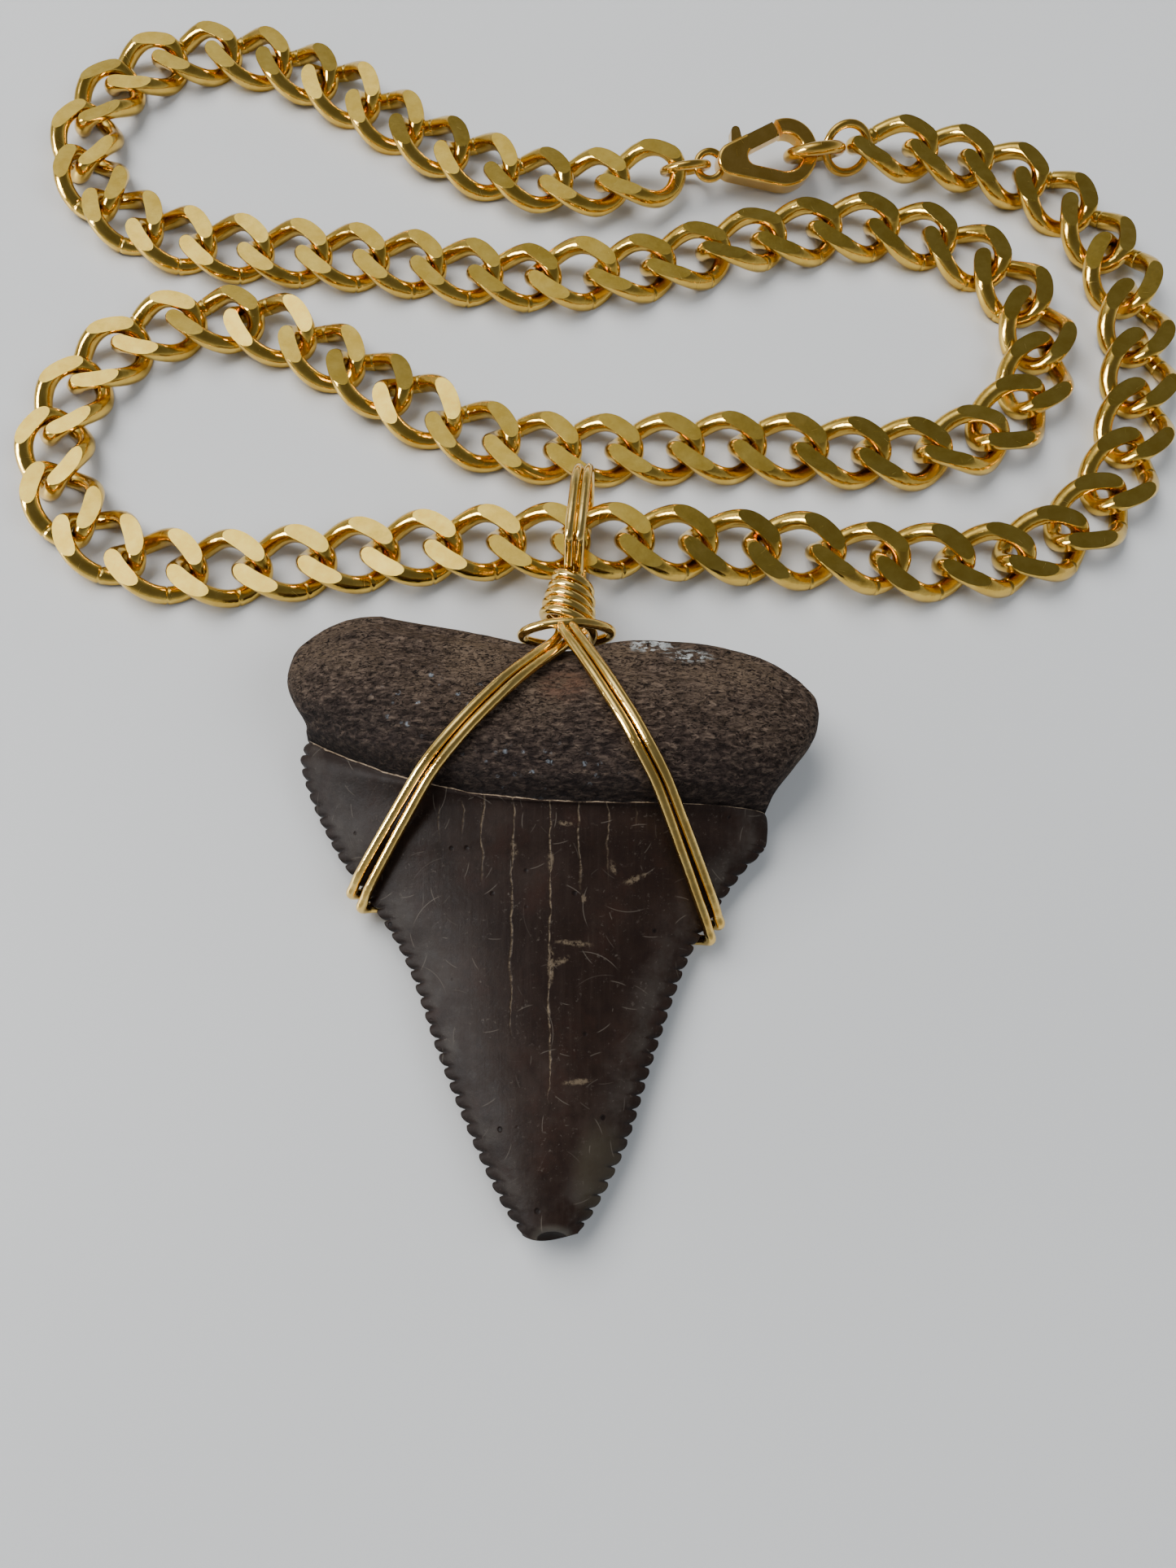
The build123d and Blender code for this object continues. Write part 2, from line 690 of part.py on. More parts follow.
def route_plan(t, scale):
    """Plan point of the chain's closed route, a uniform cubic curve over its control points."""
    i = math.floor(t)
    f = t - i
    weights = ((1 - f)**3, 3 * f**3 - 6 * f**2 + 4, 3 * f * (1 + f - f * f) + 1, f**3)
    count = len(CHAIN_ROUTE)
    corners = [CHAIN_ROUTE[(i + k) % count] for k in (-1, 0, 1, 2)]
    x, y = (sum(w * p[k] for w, p in zip(weights, corners)) / 6 for k in (0, 1))
    middle = cone_top + BAIL_MIDDLE
    return neck_x(middle) + x * scale, middle + y * scale


def chain_height(t, clasp_end):
    """Height of the chain's middle: on the surface, over the bail's strands, up to the clasp's rings."""
    count = len(CHAIN_ROUTE)
    rest = LINK_THICKNESS / 2
    near_bail = abs((t + count / 2) % count - count / 2)
    over_bail = smooth(1 - (near_bail - CHAIN_FLAT) / CHAIN_RAMP)
    t = t % count
    near_clasp = max(CLASP_START - t, t - clasp_end, 0.0)
    at_clasp = smooth(1 - near_clasp / CLASP_RAMP)
    return rest + over_bail * (WIRE_DIAMETER + CHAIN_CLEARANCE) + at_clasp * (clasp_height() - rest)


def clasp_height():
    """Height of the middle of the clasp and its rings, when the leaning end ring stands on the surface."""
    return END_RING_RADIUS * math.cos(math.radians(RING_LEAN_ANGLE)) + END_RING_WIRE / 2


def route_point(t, scale, clasp_end):
    return (*route_plan(t, scale), chain_height(t, clasp_end))


def step_along(t, reach, scale, clasp_end):
    """The place on the route that lies a straight distance ahead of another place."""
    start = route_point(t, scale, clasp_end)
    ahead = t + reach / ROUTE_SPACING
    for _ in range(STEP_ROUNDS):
        found = math.dist(start, route_point(ahead, scale, clasp_end))
        ahead += (reach - found) / ROUTE_SPACING
    return ahead


def chain_places(scale):
    """The clasp's end and all joints of the chain, from there round the route to the clasp's start."""
    flat_end = CLASP_START + len(CHAIN_ROUTE) / 4
    clasp_end = step_along(CLASP_START, clasp_line().span, scale, flat_end)
    places = [clasp_end]
    for _ in range(LINK_COUNT):
        places.append(step_along(places[-1], LINK_PITCH, scale, clasp_end))
    return clasp_end, places


def fitted_scale():
    """The route's scale at which the chain and its clasp close the loop."""
    goal = CLASP_START + len(CHAIN_ROUTE)
    scale = 1.0
    for _ in range(SCALE_ROUNDS):
        clasp_end, places = chain_places(scale)
        scale *= (places[-1] - CLASP_START) / (goal - CLASP_START)
    return scale


def upright(a, b):
    """A frame between two points with its X axis along them and its Z axis as upright as it can be."""
    ahead = (Vector(*b) - Vector(*a)).normalized()
    up = Vector(0, 0, 1)
    up = (up - ahead * up.dot(ahead)).normalized()
    return Plane(origin=(Vector(*a) + Vector(*b)) / 2, x_dir=ahead, z_dir=up)


ClaspLine = namedtuple("ClaspLine", "first_ring eye nose end_ring last_ring span")


def clasp_line():
    """Places along the clasp, from the pivot of the chain's last link, with every ring in the next."""
    link_reach = (LINK_WIRE + LINK_GAP) / 2
    first_ring = link_reach - LINK_WIRE / 2 - JUMP_RING_WIRE / 2 - RING_PLAY + JUMP_RING_RADIUS
    eye_wall = first_ring + JUMP_RING_RADIUS - JUMP_RING_WIRE / 2 - EYE_WIRE / 2 - RING_PLAY
    eye = eye_wall + EYE_RADIUS
    nose = eye_wall - EYE_WIRE / 2 + CLASP_LENGTH
    end_ring = nose - CLASP_BAR - END_RING_WIRE / 2 - HOOK_PLAY + END_RING_RADIUS
    far_wall = end_ring + END_RING_RADIUS
    last_ring = far_wall - END_RING_WIRE / 2 - JUMP_RING_WIRE / 2 - RING_PLAY + JUMP_RING_RADIUS
    link_wall = last_ring + JUMP_RING_RADIUS - JUMP_RING_WIRE / 2 - LINK_WIRE / 2 - RING_PLAY
    return ClaspLine(first_ring, eye, nose, end_ring, last_ring, link_wall + link_reach)


def leaning_ring(x, radius, wire, lean):
    """A round ring through the clasp's line, leaning from the upright."""
    angle = math.radians(lean)
    frame = Plane(origin=(x, 0, 0), x_dir=(1, 0, 0), z_dir=(0, math.cos(angle), math.sin(angle)))
    return frame * Torus(radius, wire / 2)


def clasp_shapes():
    """Outlines of the clasp and its opening, the lever's pivot and how far the lever reaches from it."""
    line = clasp_line()
    big = CLASP_WIDTH / 2
    nose = line.nose - big
    base = line.eye + EYE_RADIUS + BASE_RADIUS * BASE_OVERLAP
    outer = make_hull(
        (Pos(nose, 0) * Circle(big)).edges() + (Pos(base, 0) * Circle(BASE_RADIUS)).edges()
    )
    throat = base + BASE_RADIUS + THROAT_RADIUS
    opening = make_hull(
        (Pos(nose, 0) * Circle(big - CLASP_BAR)).edges() + (Pos(throat, 0) * Circle(THROAT_RADIUS)).edges()
    )
    pivot = (base + PIVOT_SHIFT, PIVOT_HEIGHT)
    reach = nose - pivot[0] - LEVER_LAP
    return outer, opening, pivot, reach


def gate_quarter(x, y):
    """The clasp's gate side: everything ahead of and above a point of its outline."""
    return Pos(x + CLASP_LENGTH / 2, y + CLASP_WIDTH / 2) * Rectangle(CLASP_LENGTH, CLASP_WIDTH)


def lever_shape(outer, opening, pivot, reach):
    """Outline of the lever: the gate along the clasp's upper side, its boss and its thumb nub."""
    gate_side = gate_quarter(pivot[0], pivot[1])
    gate = (outer - opening) & gate_side & (Pos(*pivot) * Circle(reach))
    boss = Pos(*pivot) * Circle(LEVER_BOSS)
    nub = make_hull(
        (Pos(pivot[0], pivot[1] + NUB_HEIGHT - NUB_RADIUS) * Circle(NUB_RADIUS)).edges()
        + (Pos(*pivot) * Circle(NUB_FOOT)).edges()
    )
    return gate + boss + nub


def slab(shape, thickness):
    """A plate of an outline, with its middle in the outline's plane."""
    return extrude(shape, thickness / 2, both=True)


def clasp_pieces():
    """The clasp's body, lever and pin, lying flat along X with the nose at the far end."""
    outer, opening, pivot, reach = clasp_shapes()
    lever = lever_shape(outer, opening, pivot, reach)
    body = slab(outer - opening, CLASP_THICKNESS)
    faces = body.faces().filter_by(Plane.XY)
    body = fillet(faces.edges(), CLASP_EDGE)
    window = gate_quarter(pivot[0] + LEVER_BOSS, pivot[1]) & (Pos(*pivot) * Circle(reach + TIP_PLAY))
    body -= slab(window, 2 * CLASP_THICKNESS)
    around = Pos(*pivot)
    turns = [-LEVER_SWING_ANGLE * k / LEVER_STEPS for k in range(LEVER_STEPS + 1)]
    swept = Sketch() + [around * Rot(0, 0, turn) * around.inverse() * lever for turn in turns]
    slot = offset(swept, LEVER_PLAY)
    body -= slab(slot, LEVER_THICKNESS + 2 * LEVER_PLAY)
    body -= around * Cylinder(PIN_RADIUS, 2 * CLASP_THICKNESS)
    line = clasp_line()
    body += Pos(line.eye, 0) * Torus(EYE_RADIUS, EYE_WIRE / 2)
    hole = around * Cylinder(PIN_RADIUS + PIN_PLAY, CLASP_THICKNESS)
    lever = slab(lever, LEVER_THICKNESS) - hole
    pin = around * Cylinder(PIN_RADIUS, CLASP_THICKNESS)
    return body, lever, pin


def build():
    """All pieces of the necklace in the drawing frame, by name."""
    pieces = {"tooth": faceted(tooth_faces())}
    upper, lower = wrap_wires()
    pieces["wire_upper"] = round_wire(upper, wire_radius)
    pieces["wire_lower"] = round_wire(lower, wire_radius)
    scale = fitted_scale()
    clasp_end, places = chain_places(scale)
    pivots = [route_point(t, scale, clasp_end) for t in places]
    link = faceted(link_faces())
    links = [link.moved(upright(a, b).location) for a, b in zip(pivots, pivots[1:])]
    half = LINK_COUNT // 2
    pieces["chain_right"] = Compound(children=links[:half])
    pieces["chain_left"] = Compound(children=links[half:])
    middle = upright(pivots[-1], pivots[0])
    frame = Plane(origin=pivots[-1], x_dir=middle.x_dir, z_dir=middle.z_dir)
    line = clasp_line()
    rolled = frame * Rot(CLASP_ROLL_ANGLE, 0, 0)
    body, lever, pin = clasp_pieces()
    pieces["clasp_body"] = rolled * body
    pieces["clasp_lever"] = rolled * lever
    pieces["clasp_pin"] = rolled * pin
    first = leaning_ring(line.first_ring, JUMP_RING_RADIUS, JUMP_RING_WIRE, RING_LEAN_ANGLE)
    pieces["jump_ring_clasp"] = frame * first
    hooked = leaning_ring(line.end_ring, END_RING_RADIUS, END_RING_WIRE, RING_LEAN_ANGLE)
    pieces["end_ring"] = frame * hooked
    last = leaning_ring(line.last_ring, JUMP_RING_RADIUS, JUMP_RING_WIRE, -RING_LEAN_ANGLE)
    pieces["jump_ring_end"] = frame * last
    return pieces


def centred(pieces):
    """The pieces shifted together, so that the origin is the bottom centre of their box."""
    box = Compound(children=[piece.moved(Location()) for piece in pieces.values()]).bounding_box()
    shift = Location((-box.center().X, -box.center().Y, -box.min.Z))
    return {name: piece.moved(shift) for name, piece in pieces.items()}


if __name__ == "__main__":
    os.makedirs("parts", exist_ok=True)
    for name, piece in centred(build()).items():
        export_step(piece, f"parts/{name}.step")
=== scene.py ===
import math

import bmesh
import bpy
import numpy as np
from mathutils import Matrix, Vector, noise


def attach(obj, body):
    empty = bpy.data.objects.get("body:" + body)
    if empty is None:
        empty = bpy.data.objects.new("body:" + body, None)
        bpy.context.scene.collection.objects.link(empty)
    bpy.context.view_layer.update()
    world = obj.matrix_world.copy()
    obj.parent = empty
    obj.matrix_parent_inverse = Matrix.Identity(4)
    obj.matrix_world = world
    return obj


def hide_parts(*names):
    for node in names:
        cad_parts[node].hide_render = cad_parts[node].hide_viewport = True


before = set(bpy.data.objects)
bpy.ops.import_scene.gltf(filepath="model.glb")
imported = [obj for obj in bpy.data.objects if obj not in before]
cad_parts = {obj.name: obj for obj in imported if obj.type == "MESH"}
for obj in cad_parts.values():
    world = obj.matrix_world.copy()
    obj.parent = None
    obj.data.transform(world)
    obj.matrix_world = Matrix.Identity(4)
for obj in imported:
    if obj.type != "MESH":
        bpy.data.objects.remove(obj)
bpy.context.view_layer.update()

# Lengths in mm in the drawing frame, whose origin is the tooth's tip: x right, y to the root, z up.
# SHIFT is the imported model's place in that frame.
MM = 0.001
SHIFT = (-3.11915, -57.8362, 0.003987)

# Tooth, as in the CAD
TOOTH_WIDTH = 42.0
TOOTH_LENGTH = 47.4
ROOT_THICKNESS = 9.0
CROWN_THICKNESS = 7.0
BLADE_THICKNESS = 0.45
ROOT_RIM = 1.5
SERRATIONS = 38
SERRATION_DEPTH = 0.5
RIGHT_SERRATIONS_END = 0.72
SAG_SKEW = 0.12
BACK_FULLNESS = 3.2
WIRE_DIAMETER = 0.81
WIRE_GAP = 0.06
TOOTH_CLEARANCE = 0.15
TOOTH_BED = WIRE_DIAMETER + TOOTH_CLEARANCE
HALF_WIDTH = TOOTH_WIDTH / 2

# left reach, left height, right reach, right height, as shares of half the width and the length
CROWN_EDGES = [
    (-0.100, 0.009, 0.086, 0.012), (-0.171, 0.049, 0.152, 0.050), (-0.281, 0.141, 0.257, 0.141),
    (-0.405, 0.264, 0.350, 0.264), (-0.533, 0.409, 0.471, 0.409), (-0.652, 0.496, 0.579, 0.494),
    (-0.769, 0.565, 0.695, 0.565), (-0.833, 0.607, 0.774, 0.602), (-0.926, 0.686, 0.790, 0.629),
    (-0.976, 0.755, 0.790, 0.652), (-0.952, 0.791, 0.781, 0.662),
]
ROOT_EDGES = [
    (-0.952, 0.791, 0.781, 0.662), (-0.943, 0.807, 0.819, 0.696), (-0.981, 0.835, 0.895, 0.738),
    (-1.010, 0.863, 0.962, 0.778), (-1.019, 0.890, 0.986, 0.821),
]
# reach and height of the root's upper edge
ROOT_TOP = [
    (-1.019, 0.890), (-0.990, 0.937), (-0.905, 0.973), (-0.800, 0.994), (-0.686, 1.000),
    (-0.543, 0.987), (-0.381, 0.975), (-0.238, 0.962), (-0.110, 0.948), (0.033, 0.935),
    (0.205, 0.951), (0.324, 0.956), (0.450, 0.953), (0.571, 0.947), (0.676, 0.937),
    (0.780, 0.922), (0.860, 0.903), (0.929, 0.878), (0.975, 0.850), (0.986, 0.821),
]
# station, sag
ROW_SAG = [(0.0, 0.008), (0.12, 0.0), (0.7, 0.0), (1.0, 0.071)]
# station, body, bulge, bed, edge, rim, fullness, roundness
SECTIONS = [
    (0.00, 0.34, 0.0, 0.03, 0.15, 0.9, 2.6, 0.80), (0.06, 0.42, 0.0, 0.01, 0.14, 0.0, 2.4, 0.90),
    (0.25, 0.58, 0.0, 0.00, 0.12, 0.0, 2.1, 0.95), (0.50, 0.78, 0.0, 0.00, 0.12, 0.0, 2.1, 0.95),
    (0.75, 0.93, 0.0, 0.00, 0.14, 0.0, 2.2, 0.90), (1.00, 1.00, 0.0, 0.00, 0.18, 0.2, 2.6, 0.75),
    (1.15, 1.00, 0.7, 0.00, 0.28, 0.8, 3.2, 0.60), (1.35, 1.00, 1.0, 0.00, 0.36, 1.0, 3.6, 0.52),
    (1.60, 1.00, 0.8, 0.01, 0.39, 1.0, 3.8, 0.50), (1.80, 0.98, 0.2, 0.06, 0.39, 1.0, 3.8, 0.50),
    (1.93, 0.82, 0.0, 0.16, 0.39, 1.0, 3.8, 0.50), (2.00, 0.61, 0.0, 0.31, 0.39, 1.0, 3.8, 0.50),
]

# Chain, rings and clasp, as in the CAD
LINK_COUNT = 80
LINK_PITCH = 5.5
LINK_WIRE = 1.6
LINK_GAP = 0.4
LINK_HALF_WIDTH = 2.7
LINK_TWIST = 50.0
LINK_THICKNESS = 2.4
CHAIN_CLEARANCE = 0.15
RING_PLAY = 0.23
HOOK_PLAY = 0.5
RING_LEAN = 38.0
JUMP_RING_RADIUS = 2.1
JUMP_RING_WIRE = 0.8
END_RING_RADIUS = 2.4
END_RING_WIRE = 1.2
EYE_WIRE = 0.7
CLASP_LENGTH = 12.0
CLASP_BAR = 1.4
CLASP_START = 29.6
ROUTE_SPACING = 11.5
STEP_ROUNDS = 8
SCALE_ROUNDS = 12
CHAIN_FLAT = 0.35
CHAIN_RAMP = 1.6
CLASP_RAMP = 1.8
CHAIN_ROUTE = [
    (0.0, 0.0), (-10.7, 0.0), (-21.5, -1.0), (-33.2, -3.4), (-44.9, 0.5), (-48.8, 12.7),
    (-41.0, 23.9), (-28.8, 24.4), (-18.1, 16.1), (-8.8, 9.8), (2.9, 9.3), (14.7, 10.3),
    (26.4, 8.8), (37.1, 9.3), (44.4, 19.5), (40.0, 30.8), (29.3, 35.2), (17.6, 33.2),
    (6.8, 29.3), (-4.9, 27.4), (-15.6, 30.3), (-26.4, 31.3), (-39.1, 31.7), (-49.3, 39.1),
    (-49.3, 50.8), (-39.6, 58.1), (-27.8, 54.7), (-18.1, 46.9), (-8.8, 40.5), (2.0, 37.6),
    (12.7, 41.5), (23.4, 43.0), (34.2, 43.0), (45.9, 40.0), (51.8, 29.3), (51.3, 15.6),
    (46.9, 2.4), (35.2, -2.9), (22.5, -1.0), (10.7, 0.0),
]

# Wire wrap, as in the CAD
NECK_OFFSET = 0.7
NECK_LEAN = 0.10
NECK_HEIGHT = 5.0
CONE_HEIGHT = 4.75
CONE_TOP_RADIUS = 1.5
CONE_FOOT_RADIUS = 2.3
BRIM_RADIUS = 3.7
BRIM_SLANT = -0.04
BRIM_START = 4.62
BRIM_FULL = 4.98
COIL_PITCH = 0.87
COIL_START_ANGLE = 225.0
UPPER_END = 1.93
LOWER_START = 2.03
BAIL_LENGTH = 9.8
BAIL_MIDDLE = 5.4
BAIL_SHOULDER = 1.2
BAIL_CORNER = 0.28
BAIL_LIFT = 0.8
CORE_DEPTH = 0.5
TUCK_DEPTH = 0.1
TUCK_RISE = 0.43
LEFT_NECK_BEND = 1.5
RIGHT_NECK_BEND = 0.5
EDGE_STEP = 0.01
CORNER_SPACING = 1.3
WRAP_ROWS = {-1: (0.560, 0.492), 1: (0.527, 0.458)}
LEFT_BEND = (-0.448, 0.697)
RIGHT_BEND = (0.379, 0.676)

# Wire wrap, bent closer and less evenly than in the CAD
COIL_POINTS = 28
COIL_SLANT = 0.34
COIL_SWELL = 0.09
COIL_STRAY = 0.14
LOWER_END = 5.80
BRIM_OVAL = 0.62
BAIL_SLOPE = 1.8
BAIL_FOOT = [(-0.1, 0.5), (0.5, 0.88), (BAIL_SLOPE, 1.0)]
BAIL_ROUND = 0.72
BAIL_TURNS = (60, 45, 30, 15, 0)
WIRE_REST = 0.06
WIRE_REACH = 0.6
CROSSING_RISE = 0.75
EDGE_REACH = 0.95
WIRE_STEP = 0.13
WIRE_EASE = 0.42
WIDE_EASE = 1.1
EASE_LIMIT = 1.6
EASE_PULL = 0.2
WIRE_WOBBLE = 0.03
WIRE_SWELL = 0.012
WIRE_SIDES = 14

# Links, finer than in the CAD and not quite level
LINK_SIDES = 18
LINK_SEGMENTS = 48
FACET_BEVEL = 0.06
SEAM_ANGLE = 1.95
SEAM_HALF = 0.022
SEAM_DEPTH = 0.16
ROLL = 9.0
ROLL_START = 14.0
ROLL_RAMP = 10.0
ROLL_END_LINKS = 3

# Finer mesh and relief of the tooth
TOOTH_ROWS_PER_SERRATION = 8
TOOTH_COLUMNS = 98
ROOT_ROWS = 118
NOTCH_REACH = 1.1
NOTCH_GROOVE = 0.10
FIBRE_RELIEF = 0.07
LUMP_RELIEF = 0.20
ROOT_DROP = 0.10
ENAMEL_RELIEF = 0.035
GROOVE_DEPTH = 0.22
LIP_RISE = 0.10
TIP_CHIP_MIDDLE = 0.25
TIP_CHIP_SIZE = (0.95, 0.45)
TIP_CHIP_DEPTH = 0.40

# Cracks down the enamel: x, upper end, lower end, strength
CRACKS = [
    (-8.7, 30.4, 27.6, 0.35), (-6.9, 30.6, 27.4, 0.35), (-5.4, 31.4, 24.6, 0.7),
    (-3.1, 31.4, 13.5, 0.75), (-0.3, 31.0, 9.0, 1.0), (1.9, 31.0, 23.8, 0.7),
    (4.0, 31.2, 25.0, 0.6), (6.0, 31.2, 28.6, 0.3),
]
# Patches, and the pale marks on the enamel: x, y, half width, half height, turn
OLIVE_PATCH = [(3.4, 4.6, 2.4, 4.4, 0)]
CHIP_PATCH = [(0.0, 0.2, 1.4, 0.68, 0)]
RIM_PATCH = [(0.0, 0.25, 1.8, 1.1, 0)]
RED_PATCH = [(0.6, 39.8, 2.6, 2.2, 0)]
MINERAL_PATCHES = [(7.4, 44.0, 2.4, 1.1, 0), (10.4, 42.9, 2.4, 1.0, 0)]
CRYSTAL_AND_GLINT_PATCHES = [(-9.3, 38.2, 6.2, 3.4, 0), (-1.5, 33.0, 7.0, 2.2, 0)]
MARKS = [
    (1.4, 20.6, 1.7, 0.26, -4), (0.5, 19.3, 0.9, 0.32, 28), (-0.3, 26.6, 0.32, 0.95, 0),
    (-3.0, 27.4, 0.34, 0.8, 0), (4.4, 26.2, 0.28, 0.65, 20), (6.1, 25.5, 1.3, 0.30, 24),
    (0.8, 29.3, 0.8, 0.22, -6), (2.2, 23.8, 0.22, 0.55, 0), (1.7, 10.8, 1.3, 0.26, 6),
    (-0.2, 19.0, 0.26, 1.7, 0),
]

# Colours of the crown
ENAMEL = [(0.32, (0.0065, 0.0038, 0.0028)), (0.48, (0.0115, 0.0070, 0.0053)),
          (0.60, (0.0170, 0.0110, 0.0086)), (0.74, (0.027, 0.0190, 0.0155))]
ENAMEL_MOTTLE = (0.007, 0.0045, 0.004)
ENAMEL_RED = (0.022, 0.010, 0.007)
ENAMEL_STREAK = (0.028, 0.020, 0.016)
ENAMEL_WORN = (0.044, 0.038, 0.033)
ENAMEL_OLIVE = (0.055, 0.048, 0.032)
ENAMEL_TINT = (0.016, 0.009, 0.007)
CRACK_TAN = (0.185, 0.140, 0.090)
SCRATCH_GREY = (0.13, 0.112, 0.092)
MARK_TAN = (0.135, 0.103, 0.068)
DUST_GREY = (0.14, 0.12, 0.10)
SPECK_BLACK = (0.004, 0.003, 0.003)
# painted shade in the serration notches
NOTCH_PAINTED_SHADE = (0.008, 0.006, 0.006)
CHIP_RIM = (0.14, 0.13, 0.11)
CHIP_HOLLOW = (0.008, 0.007, 0.006)
LIP_TAN = (0.27, 0.205, 0.14)
LIP_SHADOW = (0.006, 0.005, 0.005)

# Colours of the root
BONE = [(0.34, (0.010, 0.0066, 0.0054)), (0.48, (0.030, 0.0205, 0.0165)),
        (0.60, (0.062, 0.044, 0.034)), (0.74, (0.130, 0.094, 0.070))]
FLECK_DARK = (0.018, 0.0125, 0.010)
FLECK_TAN = (0.105, 0.074, 0.050)
PORE_BLACK = (0.006, 0.0045, 0.004)
BONE_LOW = (0.013, 0.010, 0.010)
BONE_RED = (0.078, 0.038, 0.024)
MINERAL_GREY = (0.30, 0.32, 0.32)
# painted highlight: the glints of small crystals, as pale blue colour
CRYSTAL_GLINT_BLUE = (0.26, 0.31, 0.36)

# Golds: colour, dark, roughness, scratches, dents
GOLDS = {
    "wire": ((0.96, 0.70, 0.24), (0.86, 0.56, 0.15), 0.10, 0.15, 0.35),
    "chain": ((0.82, 0.56, 0.13), (0.68, 0.43, 0.08), 0.13, 0.2, 0.3),
    "facet": ((0.86, 0.61, 0.13), (0.72, 0.48, 0.08), 0.12, 0.1, 0.04),
    "clasp": ((0.82, 0.53, 0.13), (0.68, 0.41, 0.08), 0.15, 0.2, 0.15),
}

# Camera: the photograph's focal length and distance, looking down on the tooth
IMAGE_HEIGHT = 1927
FOCAL_PIXELS = 1428
CAMERA_DISTANCE = 91.0
CAMERA_PITCH = 72.0
CAMERA_TARGET = (2.5, 33.5, 4.0)
SENSOR = 36.0

# Floor, and the lights: place in metres, size, watts, colour, mirrored
FLOOR_REACH = 3.0
FLOOR_GREYS = [(0.3, (0.45, 0.46, 0.47)), (0.7, (0.49, 0.50, 0.51))]
LIGHTS = {
    "key": ((-0.42, 0.42, 0.80), (0.85, 0.75), 17.0, (1.0, 0.98, 0.95), False),
    "fill": ((0.6, -0.2, 0.6), (0.7, 0.5), 5.0, (0.9, 0.95, 1.0), False),
    "glint": ((-0.7, -0.15, 0.38), (0.17, 0.45), 13.0, (1.0, 1.0, 1.0), True),
}

# Sky: a soft bright panel above left by the cosine of the angle to it, and the rest by height
SKY_PANEL = (-0.42, 0.40, 0.82)
SKY_PANEL_STOPS = [(0.0, 0.0), (0.80, 0.0), (0.90, 0.5), (0.96, 1.0), (1.0, 2.6)]
SKY_STOPS = [(0.0, 0.60), (0.25, 0.42), (0.50, 0.17), (0.85, 0.12), (1.0, 0.14)]
SKY_COLOUR = (0.97, 0.985, 1.0)


def mix(a, b, share):
    return a + (b - a) * share


def smooth(share):
    share = np.clip(share, 0.0, 1.0)
    return share * share * (3 - 2 * share)


def spline(rows, place):
    """The rows of a table at places between 0 and 1, on a smooth curve through all of them."""
    rows = np.asarray(rows)
    last = len(rows) - 1
    spot = np.clip(place, 0.0, 1.0) * last
    i = np.minimum(spot.astype(int), last - 1)
    f = (spot - i)[:, None]
    p, q, r, s = (rows[np.clip(i + k, 0, last)] for k in (-1, 0, 1, 2))
    return 0.5 * (2 * q + (r - p) * f + (2 * p - 5 * q + 4 * r - s) * f**2 + (3 * (q - r) + s - p) * f**3)


def lookup(table, stations):
    """The rows of a table at stations, without the station column, interpolated smoothly."""
    table = np.asarray(table)
    i = np.clip(np.searchsorted(table[:, 0], stations) - 1, 0, len(table) - 2)
    a = table[i]
    b = table[i + 1]
    share = smooth((stations - a[:, 0]) / (b[:, 0] - a[:, 0]))[:, None]
    return mix(a, b, share)[:, 1:]


def to_mm(rows):
    """Shares of half the width and the length in mm."""
    scale = np.tile((HALF_WIDTH, TOOTH_LENGTH), np.asarray(rows).shape[1] // 2)
    return np.asarray(rows) * scale


def crown_plan(stations, u):
    """Plan points of the crown's rows: stations from 0 at the tip to 1 at the enamel line."""
    edges = spline(to_mm(CROWN_EDGES), stations)
    share = (u[None, :] + 1) / 2
    sag = lookup(ROW_SAG, stations) * TOOTH_LENGTH * (1 - u**2) * (1 - SAG_SKEW * 4 * u)
    x = mix(edges[:, 0:1], edges[:, 2:3], share)
    y = mix(edges[:, 1:2], edges[:, 3:4], share) - sag
    return x, y


def root_plan(stations, u):
    """Plan points of the root's rows: stations from 1 at the enamel line to 2 at the upper edge."""
    w = (stations - 1)[:, None]
    share = (u + 1) / 2
    low_x, low_y = crown_plan(np.array([1.0]), u)
    top = spline(to_mm(ROOT_TOP), share)
    edges = spline(to_mm(ROOT_EDGES), stations - 1)
    ends = spline(to_mm(ROOT_EDGES), np.array([0.0, 1.0]))
    plan = []
    for k, low in ((0, low_x), (1, low_y)):
        left = edges[:, k:k + 1] - mix(ends[0, k], ends[1, k], w)
        right = edges[:, k + 2:k + 3] - mix(ends[0, k + 2], ends[1, k + 2], w)
        plan.append(mix(low, top[None, :, k], w) + (1 - share) * left + share * right)
    return plan


def tooth_grid(stations, u, front):
    """Points of the tooth's front or back face, one row for each station."""
    crown = stations <= 1
    x = np.zeros((len(stations), len(u)))
    y = np.zeros_like(x)
    x[crown], y[crown] = crown_plan(stations[crown], u)
    x[~crown], y[~crown] = root_plan(stations[~crown], u)
    body, bulge, bed, edge, rim, fullness, roundness = (c[:, None] for c in lookup(SECTIONS, stations).T)
    crest = body * CROWN_THICKNESS + bulge * (ROOT_THICKNESS - CROWN_THICKNESS)
    half_rim = mix(BLADE_THICKNESS, ROOT_RIM, np.clip(rim, 0.0, 1.0)) / 2
    edge = edge * ROOT_THICKNESS
    side = np.abs(u)[None, :]
    if front:
        arch = (1 - side**fullness) ** roundness
        z = mix(edge + half_rim, np.maximum(crest, edge + half_rim), arch)
    else:
        arch = (1 - side**BACK_FULLNESS) ** roundness
        z = mix(edge - half_rim, bed * ROOT_THICKNESS, arch)
    return np.stack([x, y, TOOTH_BED + z], axis=2)


def crown_stations(count):
    """Stations at even distances along the crown's left edge."""
    fine = np.linspace(0, 1, 801)
    edge = spline(to_mm(CROWN_EDGES), fine)[:, :2]
    travelled = np.concatenate([[0], np.cumsum(np.linalg.norm(np.diff(edge, axis=0), axis=1))])
    return np.interp(np.linspace(0, travelled[-1], count + 1), travelled, fine)


